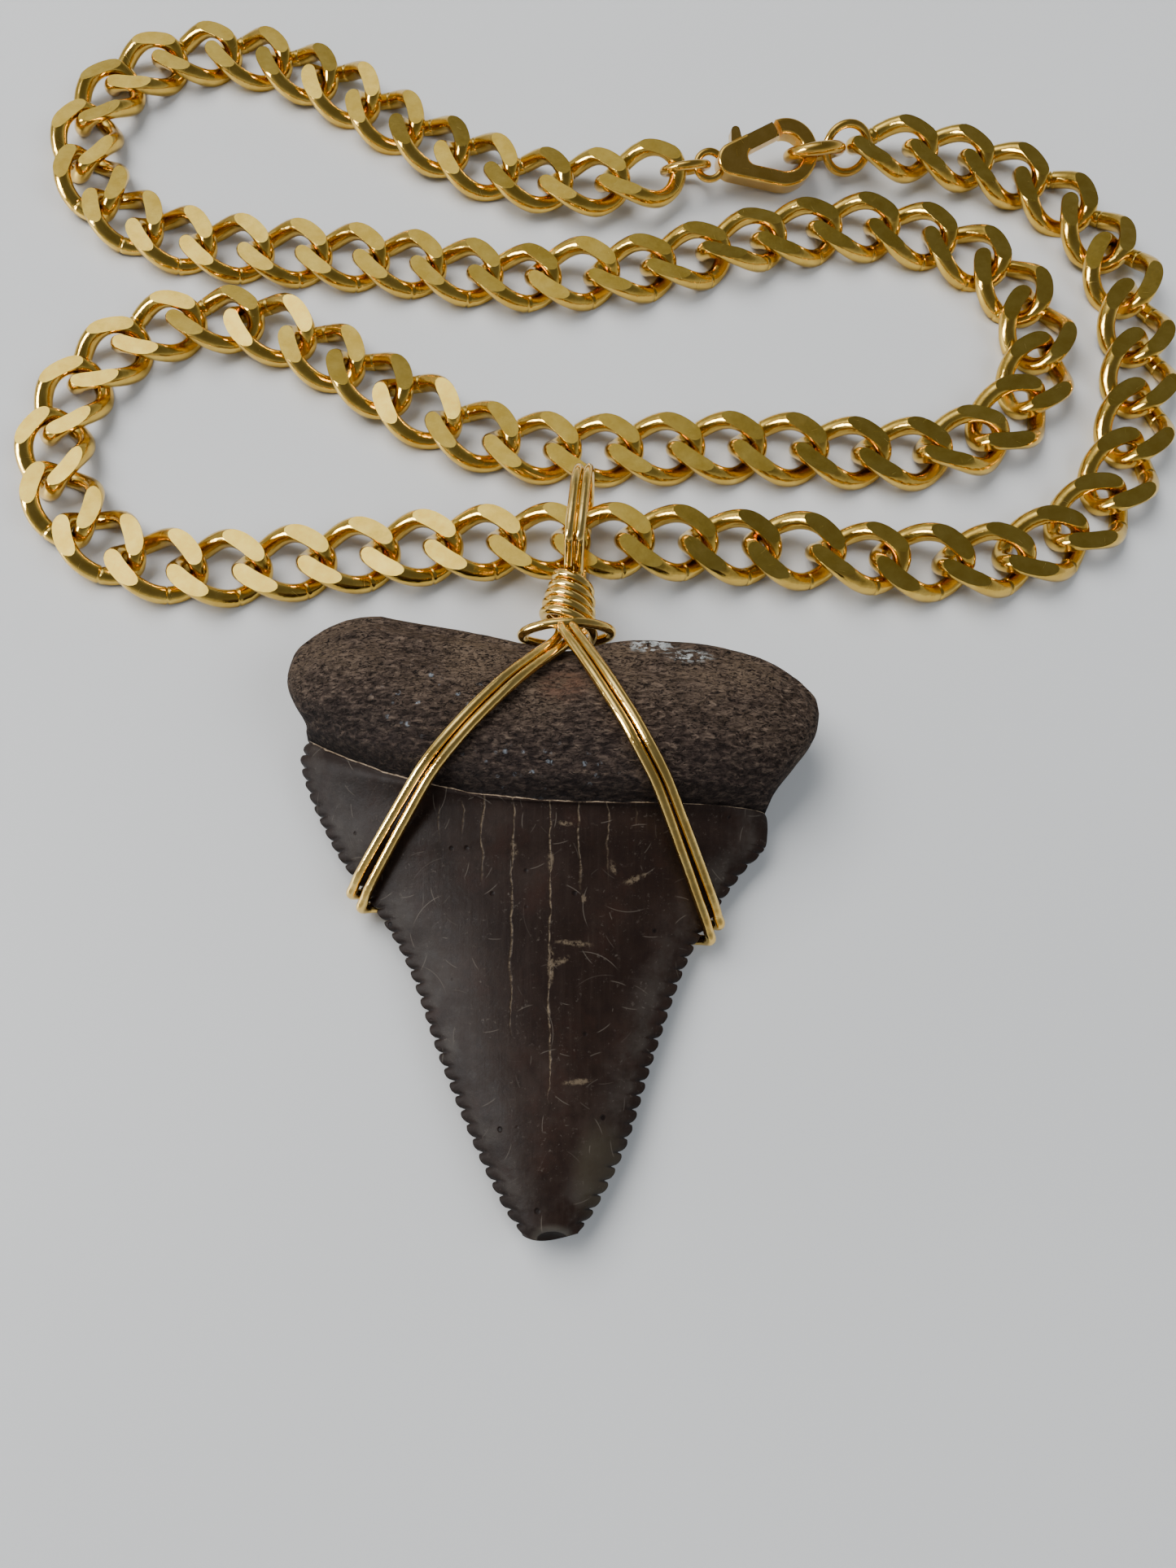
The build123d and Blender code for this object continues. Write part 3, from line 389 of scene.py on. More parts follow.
def grain(points, scale, octaves=3, seed=0.0):
    """Fractal noise at points, with a scale for each axis in waves per mm."""
    out = np.empty(len(points))
    for k, p in enumerate(points * np.asarray(scale) + seed):
        out[k] = noise.fractal(p, 0.9, 2.1, octaves)
    return out


def new_object(name, verts, faces, materials, shade=True):
    mesh = bpy.data.meshes.new(name)
    mesh.from_pydata([tuple(v) for v in verts], [], [tuple(f) for f in faces])
    mesh.update()
    for material in materials:
        mesh.materials.append(material)
    if shade:
        mesh.shade_smooth()
    piece = bpy.data.objects.new(name, mesh)
    bpy.context.scene.collection.objects.link(piece)
    return piece


def ring_faces(rows, sides, closed=False):
    """Quads between rings of points, also from the last ring to the first where closed."""
    faces = []
    for i in range(rows if closed else rows - 1):
        after = (i + 1) % rows
        for j in range(sides):
            k = (j + 1) % sides
            faces.append((i * sides + j, i * sides + k, after * sides + k, after * sides + j))
    return faces


def to_frame(points):
    """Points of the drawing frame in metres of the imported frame."""
    return (np.asarray(points) + np.array(SHIFT)) * MM


def tooth_mesh():
    """Points, attributes and faces of the detailed tooth: a closed tube of rows with two caps."""
    count = SERRATIONS * TOOTH_ROWS_PER_SERRATION
    crown = crown_stations(count)
    root = np.linspace(1, 2, ROOT_ROWS + 1)[1:]
    stations = np.concatenate([crown, root])
    u = np.sin(math.pi / 2 * np.linspace(-1, 1, TOOTH_COLUMNS + 1))
    front = tooth_grid(stations, u, True)
    back = tooth_grid(stations, u, False)
    phase = (np.arange(len(stations)) % TOOTH_ROWS_PER_SERRATION) / TOOTH_ROWS_PER_SERRATION
    lobe = 1 - np.sqrt(1 - (2 * phase - 1) ** 2)
    uneven = np.array([noise.noise((0.37 * k, 2.0, 9.0)) for k in range(len(stations))])
    lobe = np.where(np.arange(len(stations)) <= count, lobe * (1 + 0.5 * uneven), 0.0)
    lobe *= smooth(stations / 0.03)
    right = (u > 0)[None, :] & (stations > RIGHT_SERRATIONS_END)[:, None]
    notch = np.where(right, 0.0, lobe[:, None])
    for grid in (front, back):
        middle = grid[:, TOOTH_COLUMNS // 2:TOOTH_COLUMNS // 2 + 1]
        inward = middle - grid
        inward[:, :, 2] = 0
        length = np.linalg.norm(inward, axis=2)
        ends = np.where(u < 0, length[:, :1], length[:, -1:])
        close = 1 - np.clip((ends - length) / NOTCH_REACH, 0, 1)
        amount = SERRATION_DEPTH * notch * close ** 1.5
        grid += inward / np.maximum(length, 1e-6)[:, :, None] * amount[:, :, None]
    front[:, :, 2] -= NOTCH_GROOVE * notch * close * smooth((1 - np.abs(u)) / 0.05)
    return stations, u, front, back, notch * close


def relieved(stations, u, front):
    """The front face with the root's pores, the enamel's lip and its chips."""
    points = front.reshape(-1, 3)
    s = np.repeat(stations, len(u))
    side = np.tile(np.abs(u), len(stations))
    inner = smooth((1 - side) / 0.12)
    fibres = grain(points, (1.1, 1.9, 1.1), 3, 3.1)
    lumps = grain(points, (0.20, 0.26, 0.26), 3, 11.7)
    wander = grain(points, (0.6, 0.6, 0.6), 4, 7.3) * 0.018
    line = s - 1 - wander
    on_root = smooth(line / 0.02)
    groove = np.exp(-((line - 0.03) / 0.035) ** 2)
    lip = np.exp(-((line + 0.008) / 0.010) ** 2)
    chips = smooth((grain(points, (1.3, 1.3, 1.3), 2, 19.0) - 0.15) / 0.2)
    rise = on_root * (FIBRE_RELIEF * fibres + LUMP_RELIEF * lumps - ROOT_DROP)
    rise += (1 - on_root) * ENAMEL_RELIEF * lumps
    rise += lip * LIP_RISE * (1 - chips) - GROOVE_DEPTH * groove
    away = (points[:, :2] - (0, TIP_CHIP_MIDDLE)) / TIP_CHIP_SIZE
    rise -= TIP_CHIP_DEPTH * np.exp(-np.sum(away**2, axis=1) ** 2)
    points[:, 2] += rise * inner
    return points.reshape(front.shape)


def make_tooth(material):
    """The detailed tooth, with what its material needs to know of each point."""
    stations, u, front, back, notch = tooth_mesh()
    front = relieved(stations, u, front)
    ring = np.concatenate([front, back[:, ::-1]], axis=1)
    rows, columns = ring.shape[:2]
    half = columns // 2
    faces = ring_faces(rows, columns)
    for first, order in ((0, 1), ((rows - 1) * columns, -1)):
        for k in range(half - 1):
            cap = [first + c for c in (k, columns - 1 - k, columns - 2 - k, k + 1)]
            faces.append(cap[::order])
    piece = new_object("tooth_detailed", to_frame(ring.reshape(-1, 3)), faces, [material])
    lateral = np.concatenate([u, u[::-1]])
    middle = ring[:, half // 2][:, None]
    reach = np.linalg.norm((ring - middle)[:, :, :2], axis=2)
    edge = np.clip(np.where(lateral < 0, reach[:, :1], reach[:, half - 1:half]) - reach, 0, None)
    notch = np.concatenate([notch, notch[:, ::-1]], axis=1)
    station = np.repeat(stations[:, None], columns, axis=1)
    for name, values in (("station", station), ("edge", edge), ("notch", notch)):
        layer = piece.data.attributes.new(name, "FLOAT", "POINT")
        layer.data.foreach_set("value", np.asarray(values, dtype=np.float32).ravel())
    return piece


# Chain route, as in the CAD

def notch_top():
    points = spline(np.asarray(ROOT_TOP), np.linspace(0, 1, 121))
    near = np.abs(points[:, 0] * HALF_WIDTH - NECK_OFFSET) < BRIM_RADIUS + WIRE_DIAMETER / 2
    return points[near, 1].max() * TOOTH_LENGTH


NOTCH_TOP = notch_top()
BRIM_Y = NOTCH_TOP + WIRE_DIAMETER / 2 + TOOTH_CLEARANCE - BRIM_RADIUS * BRIM_SLANT
CONE_TOP = BRIM_Y + CONE_HEIGHT


def route_plan(t, scale):
    i = math.floor(t)
    f = t - i
    weights = ((1 - f)**3, 3 * f**3 - 6 * f**2 + 4, 3 * f * (1 + f - f * f) + 1, f**3)
    corners = [CHAIN_ROUTE[(i + k) % len(CHAIN_ROUTE)] for k in (-1, 0, 1, 2)]
    x, y = (sum(w * p[k] for w, p in zip(weights, corners)) / 6 for k in (0, 1))
    middle = CONE_TOP + BAIL_MIDDLE
    return NECK_OFFSET + NECK_LEAN * (middle - NOTCH_TOP) + x * scale, middle + y * scale


def clasp_height():
    return END_RING_RADIUS * math.cos(math.radians(RING_LEAN)) + END_RING_WIRE / 2


def chain_height(t, clasp_end):
    count = len(CHAIN_ROUTE)
    rest = LINK_THICKNESS / 2
    near_bail = abs((t + count / 2) % count - count / 2)
    over_bail = smooth(1 - (near_bail - CHAIN_FLAT) / CHAIN_RAMP)
    t = t % count
    near_clasp = max(CLASP_START - t, t - clasp_end, 0.0)
    at_clasp = smooth(1 - near_clasp / CLASP_RAMP)
    return rest + over_bail * (WIRE_DIAMETER + CHAIN_CLEARANCE) + at_clasp * (clasp_height() - rest)


def route_point(t, scale, clasp_end):
    return (*route_plan(t, scale), chain_height(t, clasp_end))


def step_along(t, reach, scale, clasp_end):
    start = route_point(t, scale, clasp_end)
    ahead = t + reach / ROUTE_SPACING
    for _ in range(STEP_ROUNDS):
        ahead += (reach - math.dist(start, route_point(ahead, scale, clasp_end))) / ROUTE_SPACING
    return ahead


def clasp_span():
    link_reach = (LINK_WIRE + LINK_GAP) / 2
    first_ring = link_reach - LINK_WIRE / 2 - JUMP_RING_WIRE / 2 - RING_PLAY + JUMP_RING_RADIUS
    eye_wall = first_ring + JUMP_RING_RADIUS - JUMP_RING_WIRE / 2 - EYE_WIRE / 2 - RING_PLAY
    nose = eye_wall - EYE_WIRE / 2 + CLASP_LENGTH
    end_ring = nose - CLASP_BAR - END_RING_WIRE / 2 - HOOK_PLAY + END_RING_RADIUS
    far_wall = end_ring + END_RING_RADIUS
    last_ring = far_wall - END_RING_WIRE / 2 - JUMP_RING_WIRE / 2 - RING_PLAY + JUMP_RING_RADIUS
    link_wall = last_ring + JUMP_RING_RADIUS - JUMP_RING_WIRE / 2 - LINK_WIRE / 2 - RING_PLAY
    return link_wall + link_reach


def chain_pivots():
    """The joints of the chain's links, at the scale where chain and clasp close the loop."""
    goal = CLASP_START + len(CHAIN_ROUTE)
    scale = 1.0
    for _ in range(SCALE_ROUNDS):
        clasp_end = step_along(CLASP_START, clasp_span(), scale, CLASP_START + len(CHAIN_ROUTE) / 4)
        places = [clasp_end]
        for _ in range(LINK_COUNT):
            places.append(step_along(places[-1], LINK_PITCH, scale, clasp_end))
        last_scale = scale
        scale *= (places[-1] - CLASP_START) / (goal - CLASP_START)
    return [Vector(route_point(t, last_scale, clasp_end)) for t in places]


# Wire wrap, along the CAD's line but closer to the tooth

def neck_x(y):
    return NECK_OFFSET + NECK_LEAN * (y - NOTCH_TOP)


def unit(v):
    return v / np.linalg.norm(v)


def beside(route, offset):
    """Plan points at an even distance to the left of a route of plan points."""
    route = [np.array(p) for p in route]
    moved = []
    for i, point in enumerate(route):
        steps = []
        if i:
            steps.append(unit(point - route[i - 1]))
        if i < len(route) - 1:
            steps.append(unit(route[i + 1] - point))
        middle = unit(sum(steps))
        moved.append(point + np.array((-middle[1], middle[0])) * offset / middle.dot(steps[0]))
    return moved


def edge_turn(station, side):
    """A wire's way round the crown's edge, from the front to the back."""
    def edge(at):
        row = spline(to_mm(CROWN_EDGES), np.array([at]))[0]
        return row[:2] if side < 0 else row[2:]
    x, y = edge(station)
    rise = unit(edge(station + EDGE_STEP) - edge(station - EDGE_STEP))
    outward = np.array((rise[1], -rise[0])) * side
    level = TOOTH_BED + lookup(SECTIONS, np.array([station]))[0, 3] * ROOT_THICKNESS
    x_reach, y_reach = outward * EDGE_REACH
    outside = np.array((x + x_reach, y + y_reach, level))
    below = np.array((x + x_reach / 2, y + y_reach / 2, level - WIRE_DIAMETER))
    under = np.array((x - side * 2 * WIRE_DIAMETER, y, WIRE_DIAMETER / 2))
    return [outside, below, under]


def taut(start, plan, finish, obstacles):
    """Wire points from start to finish over the obstacles, drawn tight in height."""
    corners = [start[:2]] + list(plan) + [finish[:2]]
    rope = [(0.0, start[2])]
    bends = []
    travelled = 0.0
    for a, b in zip(corners, corners[1:]):
        run = math.dist(a, b)
        steps = max(2, round(2 * run / WIRE_DIAMETER))
        for k in range(steps):
            spot = mix(np.array(a), np.array(b), k / steps)
            near = obstacles[np.hypot(*(obstacles[:, :2] - spot).T) < WIRE_REACH]
            distance = travelled + run * k / steps
            if distance > 0 and len(near):
                rope.append((distance, near[:, 2].max() + WIRE_DIAMETER / 2 + WIRE_REST))
        travelled += run
        bends.append(travelled)
    rope.append((travelled, finish[2]))
    hull = []
    for c in rope:
        while len(hull) > 1:
            a, b = hull[-2], hull[-1]
            if (b[1] - a[1]) * (c[0] - a[0]) > (c[1] - a[1]) * (b[0] - a[0]):
                break
            hull.pop()
        hull.append(c)
    kept = bends[:-1]
    for place, _ in hull[1:-1]:
        if place > CORNER_SPACING / 2 and travelled - place > CORNER_SPACING / 3:
            if all(abs(place - other) > CORNER_SPACING for other in kept):
                kept.append(place)
    lengths = np.concatenate([[0], np.cumsum([math.dist(a, b) for a, b in zip(corners, corners[1:])])])
    points = np.array(corners)
    tops = np.array(hull)
    line = [start]
    for d in sorted(kept):
        line.append(np.array((np.interp(d, lengths, points[:, 0]), np.interp(d, lengths, points[:, 1]),
                              np.interp(d, tops[:, 0], tops[:, 1]))))
    return line + [finish]


def coil(first, last):
    """The winding round the neck between two turns, from the top down to the wide brim."""
    points = []
    steps = round((last - first) * COIL_POINTS)
    for turn in np.linspace(first, last, steps + 1):
        angle = math.radians(COIL_START_ANGLE - 360 * turn)
        flare = smooth((turn - BRIM_START) / (BRIM_FULL - BRIM_START))
        cone = mix(CONE_TOP_RADIUS, CONE_FOOT_RADIUS, min(turn / BRIM_START, 1.0))
        radius = mix(cone, BRIM_RADIUS, flare)
        radius += COIL_SWELL * noise.noise((1.7 * turn, 3.0, 1.0)) * (1 - flare)
        x = radius * math.cos(angle)
        fall = CONE_TOP - COIL_PITCH * turn + COIL_STRAY * noise.noise((1.3 * turn, 8.0, 5.0))
        y = mix(fall, BRIM_Y, flare) - mix(COIL_SLANT, BRIM_SLANT, flare) * x
        z = NECK_HEIGHT + radius * math.sin(angle) * mix(1.0, BRIM_OVAL, flare)
        points.append(np.array((neck_x(y) + x, y, z)))
    return points


def wrap_lines():
    """The corner points of the upper and the lower wire."""
    u = np.sin(math.pi / 2 * np.linspace(-1, 1, 61))
    tooth = tooth_grid(np.linspace(0, 2, 161), u, True).reshape(-1, 3)
    step = WIRE_DIAMETER + WIRE_GAP
    half = step / 2
    place = np.array((HALF_WIDTH, TOOTH_LENGTH))

    def neck_plan(above):
        return np.array((neck_x(BRIM_Y + above), BRIM_Y + above))

    def neck_point(side, y, z):
        return np.array((neck_x(y) + side * half, y, NECK_HEIGHT + z))

    left = {}
    for side, row in WRAP_ROWS.items():
        outside = edge_turn(row[0], -1)[0]
        plan = [outside[:2], LEFT_BEND * place, neck_plan(-LEFT_NECK_BEND), neck_plan(CORE_DEPTH)]
        plan = beside(plan, -side * half)
        core = np.array((*plan[-1], NECK_HEIGHT + half))
        left[side] = taut(outside, plan[1:-1], core, tooth)
    crossed = [tooth]
    for line in left.values():
        for a, b in zip(line, line[1:]):
            steps = max(1, round(2 * math.dist(a, b) / WIRE_DIAMETER))
            crossed.append(np.array([mix(a, b, k / steps) + (0, 0, CROSSING_RISE) for k in range(steps)]))
    crossed = np.concatenate(crossed)
    lines = {}
    for side, row in WRAP_ROWS.items():
        outside = edge_turn(row[1], 1)[0]
        plan = [neck_plan(TUCK_DEPTH), neck_plan(-RIGHT_NECK_BEND), RIGHT_BEND * place, outside[:2]]
        plan = beside(plan, -side * half)
        tuck = np.array((*plan[0], NECK_HEIGHT + 3 * half + TUCK_RISE))
        right = taut(tuck, plan[1:-1], outside, crossed)
        near = CONE_TOP + BAIL_SHOULDER
        far = CONE_TOP + BAIL_LENGTH
        top = NECK_HEIGHT - WIRE_DIAMETER / 2
        corner = top * BAIL_CORNER
        loop = [(near + ahead, top * share) for ahead, share in BAIL_FOOT]
        for turn in np.radians(BAIL_TURNS):
            ahead = mix(near + BAIL_SLOPE, far, math.cos(turn) ** BAIL_ROUND)
            loop.append((ahead, top * math.sin(turn) ** BAIL_ROUND))
        loop += [(far, corner - top), (far - corner, -top), (near, -top)]
        bail = [neck_point(side, y, z) for y, z in loop]
        if side < 0:
            tail = coil(0.0, UPPER_END)
        else:
            fall = COIL_PITCH * LOWER_START - WIRE_DIAMETER / 2
            tail = [neck_point(1, CONE_TOP + WIRE_DIAMETER / 2, -half), neck_point(1, CONE_TOP - fall, -half)]
            tail += coil(LOWER_START, LOWER_END)
        lines[side] = (right + edge_turn(row[1], 1)[1:] + edge_turn(row[0], -1)[:0:-1] + left[side]
                       + [neck_point(side, CONE_TOP + BAIL_LIFT, half)] + bail + tail)
    return lines


def eased(points, ease):
    """An even fine line through corners, with its bends rounded."""
    points = np.array(points)
    travelled = np.concatenate([[0], np.cumsum(np.linalg.norm(np.diff(points, axis=0), axis=1))])
    count = round(travelled[-1] / WIRE_STEP)
    places = np.linspace(0, travelled[-1], count + 1)
    line = np.stack([np.interp(places, travelled, points[:, k]) for k in range(3)], axis=1)
    reach = round(3 * ease / WIRE_STEP)
    weights = np.exp(-0.5 * (np.arange(-reach, reach + 1) * WIRE_STEP / ease) ** 2)
    weights /= weights.sum()
    ahead = 2 * line[0] - line[reach:0:-1]
    behind = 2 * line[-1] - line[-2:-reach - 2:-1]
    padded = np.concatenate([ahead, line, behind])
    return np.stack([np.convolve(padded[:, k], weights, "valid") for k in range(3)], axis=1)


def tube(line, radii, sides):
    """Points and faces of a round wire along a fine line, with closed ends."""
    ahead = np.gradient(line, axis=0)
    ahead /= np.linalg.norm(ahead, axis=1, keepdims=True)
    normal = unit(np.cross(ahead[0], (0.0, 0.0, 1.0)))
    turns = np.linspace(0, 2 * math.pi, sides, endpoint=False)
    rings = []
    for point, direction, radius in zip(line, ahead, radii):
        normal = unit(normal - direction * normal.dot(direction))
        other = np.cross(direction, normal)
        rings.append(point + radius * (np.cos(turns)[:, None] * normal + np.sin(turns)[:, None] * other))
    faces = ring_faces(len(rings), sides)
    faces.append(range(sides - 1, -1, -1))
    faces.append(range((len(rings) - 1) * sides, len(rings) * sides))
    return np.concatenate(rings), faces


def make_wire(name, corners, material, seed):
    """One wire of the wrap, with the slight unevenness of bending by hand."""
    line = eased(corners, WIRE_EASE)
    wide = eased(corners, WIDE_EASE)
    pull = np.linalg.norm(wide - line, axis=1)
    line = mix(line, wide, smooth(EASE_LIMIT - pull / EASE_PULL)[:, None])
    along = np.arange(len(line)) * WIRE_STEP
    for k in range(3):
        wobble = [noise.noise((d * 0.23, seed, 5.0 * k)) for d in along]
        line[:, k] += WIRE_WOBBLE * np.array(wobble)
    line[:, 2] = np.maximum(line[:, 2], WIRE_DIAMETER / 2)
    swell = np.array([noise.noise((d * 1.1, seed, 40.0)) for d in along])
    verts, faces = tube(line, WIRE_DIAMETER / 2 * (1 + WIRE_SWELL * swell), WIRE_SIDES)
    return new_object(name, to_frame(verts), faces, [material])


def link_centre(angle):
    reach = (LINK_PITCH + LINK_WIRE + LINK_GAP) / 2
    twist = math.radians(LINK_TWIST) * math.cos(angle)
    across = LINK_HALF_WIDTH * math.sin(angle)
    return Vector((reach * math.cos(angle), across * math.cos(twist), across * math.sin(twist)))


def link_mesh():
    """One curb link of round wire, filed flat on both sides, with its facets in material 1."""
    small = 1e-4
    verts = []
    turns = [(2 * math.pi * (i + 0.5) / LINK_SEGMENTS, 1.0) for i in range(LINK_SEGMENTS)]
    turns += [(SEAM_ANGLE - SEAM_HALF, 1.0), (SEAM_ANGLE, 1 - SEAM_DEPTH), (SEAM_ANGLE + SEAM_HALF, 1.0)]
    turns.sort()
    for angle, share in turns:
        twist = math.radians(LINK_TWIST) * math.cos(angle)
        middle = link_centre(angle)
        ahead = (link_centre(angle + small) - link_centre(angle - small)).normalized()
        up = Vector((0, -math.sin(twist), math.cos(twist)))
        up = (up - ahead * up.dot(ahead)).normalized()
        out = ahead.cross(up)
        for j in range(LINK_SIDES):
            turn = 2 * math.pi * (j + 0.5) / LINK_SIDES
            verts.append(middle + (out * math.cos(turn) + up * math.sin(turn)) * (share * LINK_WIRE / 2))
    mesh = bpy.data.meshes.new("link")
    mesh.from_pydata(verts, [], ring_faces(len(turns), LINK_SIDES, closed=True))
    form = bmesh.new()
    form.from_mesh(mesh)
    bmesh.ops.recalc_face_normals(form, faces=form.faces)
    flat = LINK_THICKNESS / 2
    for side in (1, -1):
        geometry = list(form.verts) + list(form.edges) + list(form.faces)
        cut = bmesh.ops.bisect_plane(form, geom=geometry, plane_co=(0, 0, side * flat),
                                     plane_no=(0, 0, side), clear_outer=True)
        rim = [e for e in cut["geom_cut"] if isinstance(e, bmesh.types.BMEdge)]
        bmesh.ops.holes_fill(form, edges=rim, sides=0)
    for face in form.faces:
        face.smooth = True
        if all(abs(abs(v.co.z) - flat) < 1e-5 for v in face.verts):
            face.material_index = 1
            face.smooth = False
    rims = [e for e in form.edges if len({f.material_index for f in e.link_faces}) == 2]
    bmesh.ops.bevel(form, geom=rims, offset=FACET_BEVEL, segments=2, affect="EDGES", profile=0.5,
                    clamp_overlap=True, material=0)
    form.to_mesh(mesh)
    form.free()
    return mesh


def link_placements():
    """Where the links lie: along the route, and rolled a little except at the bail and the clasp."""
    pivots = chain_pivots()
    bail = Vector((neck_x(CONE_TOP + BAIL_MIDDLE), CONE_TOP + BAIL_MIDDLE, NECK_HEIGHT))
    places = []
    for k, (a, b) in enumerate(zip(pivots, pivots[1:])):
        ahead = (b - a).normalized()
        up = Vector((0, 0, 1))
        up = (up - ahead * up.dot(ahead)).normalized()
        side = up.cross(ahead)
        turn = Matrix((ahead, side, up)).transposed().to_4x4()
        free = float(smooth(((a - bail).length - ROLL_START) / ROLL_RAMP))
        free *= min(1.0, k / ROLL_END_LINKS, (LINK_COUNT - 1 - k) / ROLL_END_LINKS)
        roll = math.radians(ROLL) * free * 2 * noise.noise((0.9 * k, 4.0, 2.0))
        lift = Vector((0, 0, LINK_HALF_WIDTH * abs(math.sin(roll))))
        turn = turn @ Matrix.Rotation(roll, 4, "X")
        places.append(Matrix.Translation((a + b) / 2 + lift + Vector(SHIFT)) @ turn)
    return places


def make_chain(name, places, materials):
    link = link_mesh()
    count = len(link.vertices)
    form = np.array([v.co for v in link.vertices])
    polygons = [tuple(p.vertices) for p in link.polygons]
    slots = [p.material_index for p in link.polygons]
    shades = [p.use_smooth for p in link.polygons]
    verts = []
    faces = []
    for k, place in enumerate(places):
        turn = np.array(place.to_3x3())
        verts.append((form @ turn.T + np.array(place.translation)) * MM)
        faces += [tuple(v + k * count for v in p) for p in polygons]
    piece = new_object(name, np.concatenate(verts), faces, materials, shade=False)
    piece.data.polygons.foreach_set("material_index", np.array(slots * len(places), dtype=np.int32))
    piece.data.polygons.foreach_set("use_smooth", np.array(shades * len(places), dtype=bool))
    piece.data.update()
    return piece


class Nodes:
    """The nodes of a material or world, with short calls to add them."""

    def __init__(self, owner):
        owner.use_nodes = True
        self.owner = owner
        self.tree = owner.node_tree
        self.tree.nodes.clear()

    def add(self, kind, values=None, **settings):
        """A new node, with values, sockets or other nodes on its inputs."""
        node = self.tree.nodes.new("ShaderNode" + kind)
        for key, value in settings.items():
            setattr(node, key, value)
        for key, value in (values or {}).items():
            self.set(node.inputs[key], value)
        return node

    def set(self, socket, value):
        if isinstance(value, bpy.types.NodeSocket):
            self.tree.links.new(value, socket)
        elif isinstance(value, bpy.types.Node):
            self.tree.links.new(value.outputs[0], socket)
        else:
            socket.default_value = value

    def place(self, scale=(1, 1, 1)):
        """Object coordinates in mm of the drawing frame, times a scale for each axis."""
        where = self.add("TexCoord").outputs["Object"]
        origin = tuple(-a * s for a, s in zip(SHIFT, scale))
        return self.add("Mapping", {0: where, "Scale": tuple(s / MM for s in scale), "Location": origin})

    def fade(self, value, start, end, low=0.0, high=1.0):
        """A smooth step from low at start to high at end."""
        node = self.add("MapRange", interpolation_type="SMOOTHSTEP")
        for key, amount in zip(range(5), (value, start, end, low, high)):
            self.set(node.inputs[key], amount)
        return node

    def vector(self, operation, a, b=(0, 0, 0)):
        return self.add("VectorMath", {0: a, 1: b}, operation=operation)

    def spin(self, vector, angle):
        return self.add("VectorRotate", {"Vector": vector, "Angle": angle}, rotation_type="Z_AXIS")

    def patches(self, place, spots):
        """A soft mask of ovals, each with x, y, half width, half height and turn, at every height."""
        mask = 0.0
        for x, y, width, height, turn in spots:
            offset = self.spin(self.vector("SUBTRACT", place, (x, y, 0)), math.radians(-turn))
            offset = self.vector("MULTIPLY", offset, (1 / width, 1 / height, 0))
            length = self.vector("LENGTH", offset).outputs["Value"]
            mask = self.math("ADD", self.fade(length, 1.0, 0.4), mask, clamp=True)
        return mask

    def cells(self, place, scale, seed):
        """Voronoi cells: the distance to the centre, the offset from it and random numbers."""
        moved = self.vector("ADD", place, (seed, seed, seed))
        cell = self.add("TexVoronoi", {"Vector": moved, "Scale": scale}, voronoi_dimensions="3D")
        offset = self.vector("SUBTRACT", moved, cell.outputs["Position"])
        random = self.add("SeparateColor", {0: cell.outputs["Color"]})
        return cell.outputs["Distance"], offset, random

    def scratches(self, place, scale, seed, length, width):
        """Short fine lines in all directions, at most one in each cell."""
        flat = self.vector("MULTIPLY", place, (1, 1, 0))
        _, offset, random = self.cells(flat, scale, seed)
        turned = self.spin(offset, self.times(random.outputs[0], 2 * math.pi))
        x, y, _ = self.add("SeparateXYZ", {0: turned}).outputs
        bend = self.math("MULTIPLY_ADD", self.times(x, x), 0.16, y)
        across = self.fade(self.math("ABSOLUTE", bend), width, width * 0.3)
        along = self.fade(self.math("ABSOLUTE", x), length, length * 0.5)
        return self.times(self.times(across, along), self.fade(random.outputs[1], 0.45, 0.9))

    def math(self, operation, a, b=0.0, c=0.0, clamp=False):
        return self.add("Math", {0: a, 1: b, 2: c}, operation=operation, use_clamp=clamp)

    def times(self, a, b, clamp=False):
        return self.math("MULTIPLY", a, b, clamp=clamp)

    def ramp(self, value, stops):
        """Colours or greys between the stops."""
        node = self.add("ValToRGB", {0: value})
        bar = node.color_ramp
        while len(bar.elements) < len(stops):
            bar.elements.new(0.5)
        for element, (where, shade) in zip(bar.elements, stops):
            element.position = where
            element.color = (*shade, 1) if isinstance(shade, tuple) else (shade, shade, shade, 1)
        return node

    def noise(self, place, scale, detail, roughness, distortion=0.0):
        """Noise with a scale in waves per mm."""
        return self.add("TexNoise", {"Vector": place, "Scale": scale, "Detail": detail,
                                     "Roughness": roughness, "Distortion": distortion})

    def mix(self, share, a, b):
        node = self.add("Mix", data_type="RGBA")
        self.set(node.inputs[0], share)
        self.set(node.inputs[6], a if not isinstance(a, tuple) else (*a, 1))
        self.set(node.inputs[7], b if not isinstance(b, tuple) else (*b, 1))
        return node.outputs[2]

    def attribute(self, name):
        return self.add("Attribute", attribute_name=name).outputs["Fac"]

    def bump(self, height, strength, distance, normal=None):
        node = self.add("Bump", {"Height": height, "Strength": strength, "Distance": distance})
        if normal is not None:
            self.set(node.inputs["Normal"], normal)
        return node

    def finish(self, **values):
        """The material, with values or nodes on its shader's sockets."""
        sockets = {key.replace("_", " "): value for key, value in values.items()}
        self.add("OutputMaterial", {0: self.add("BsdfPrincipled", sockets)})
        return self.owner


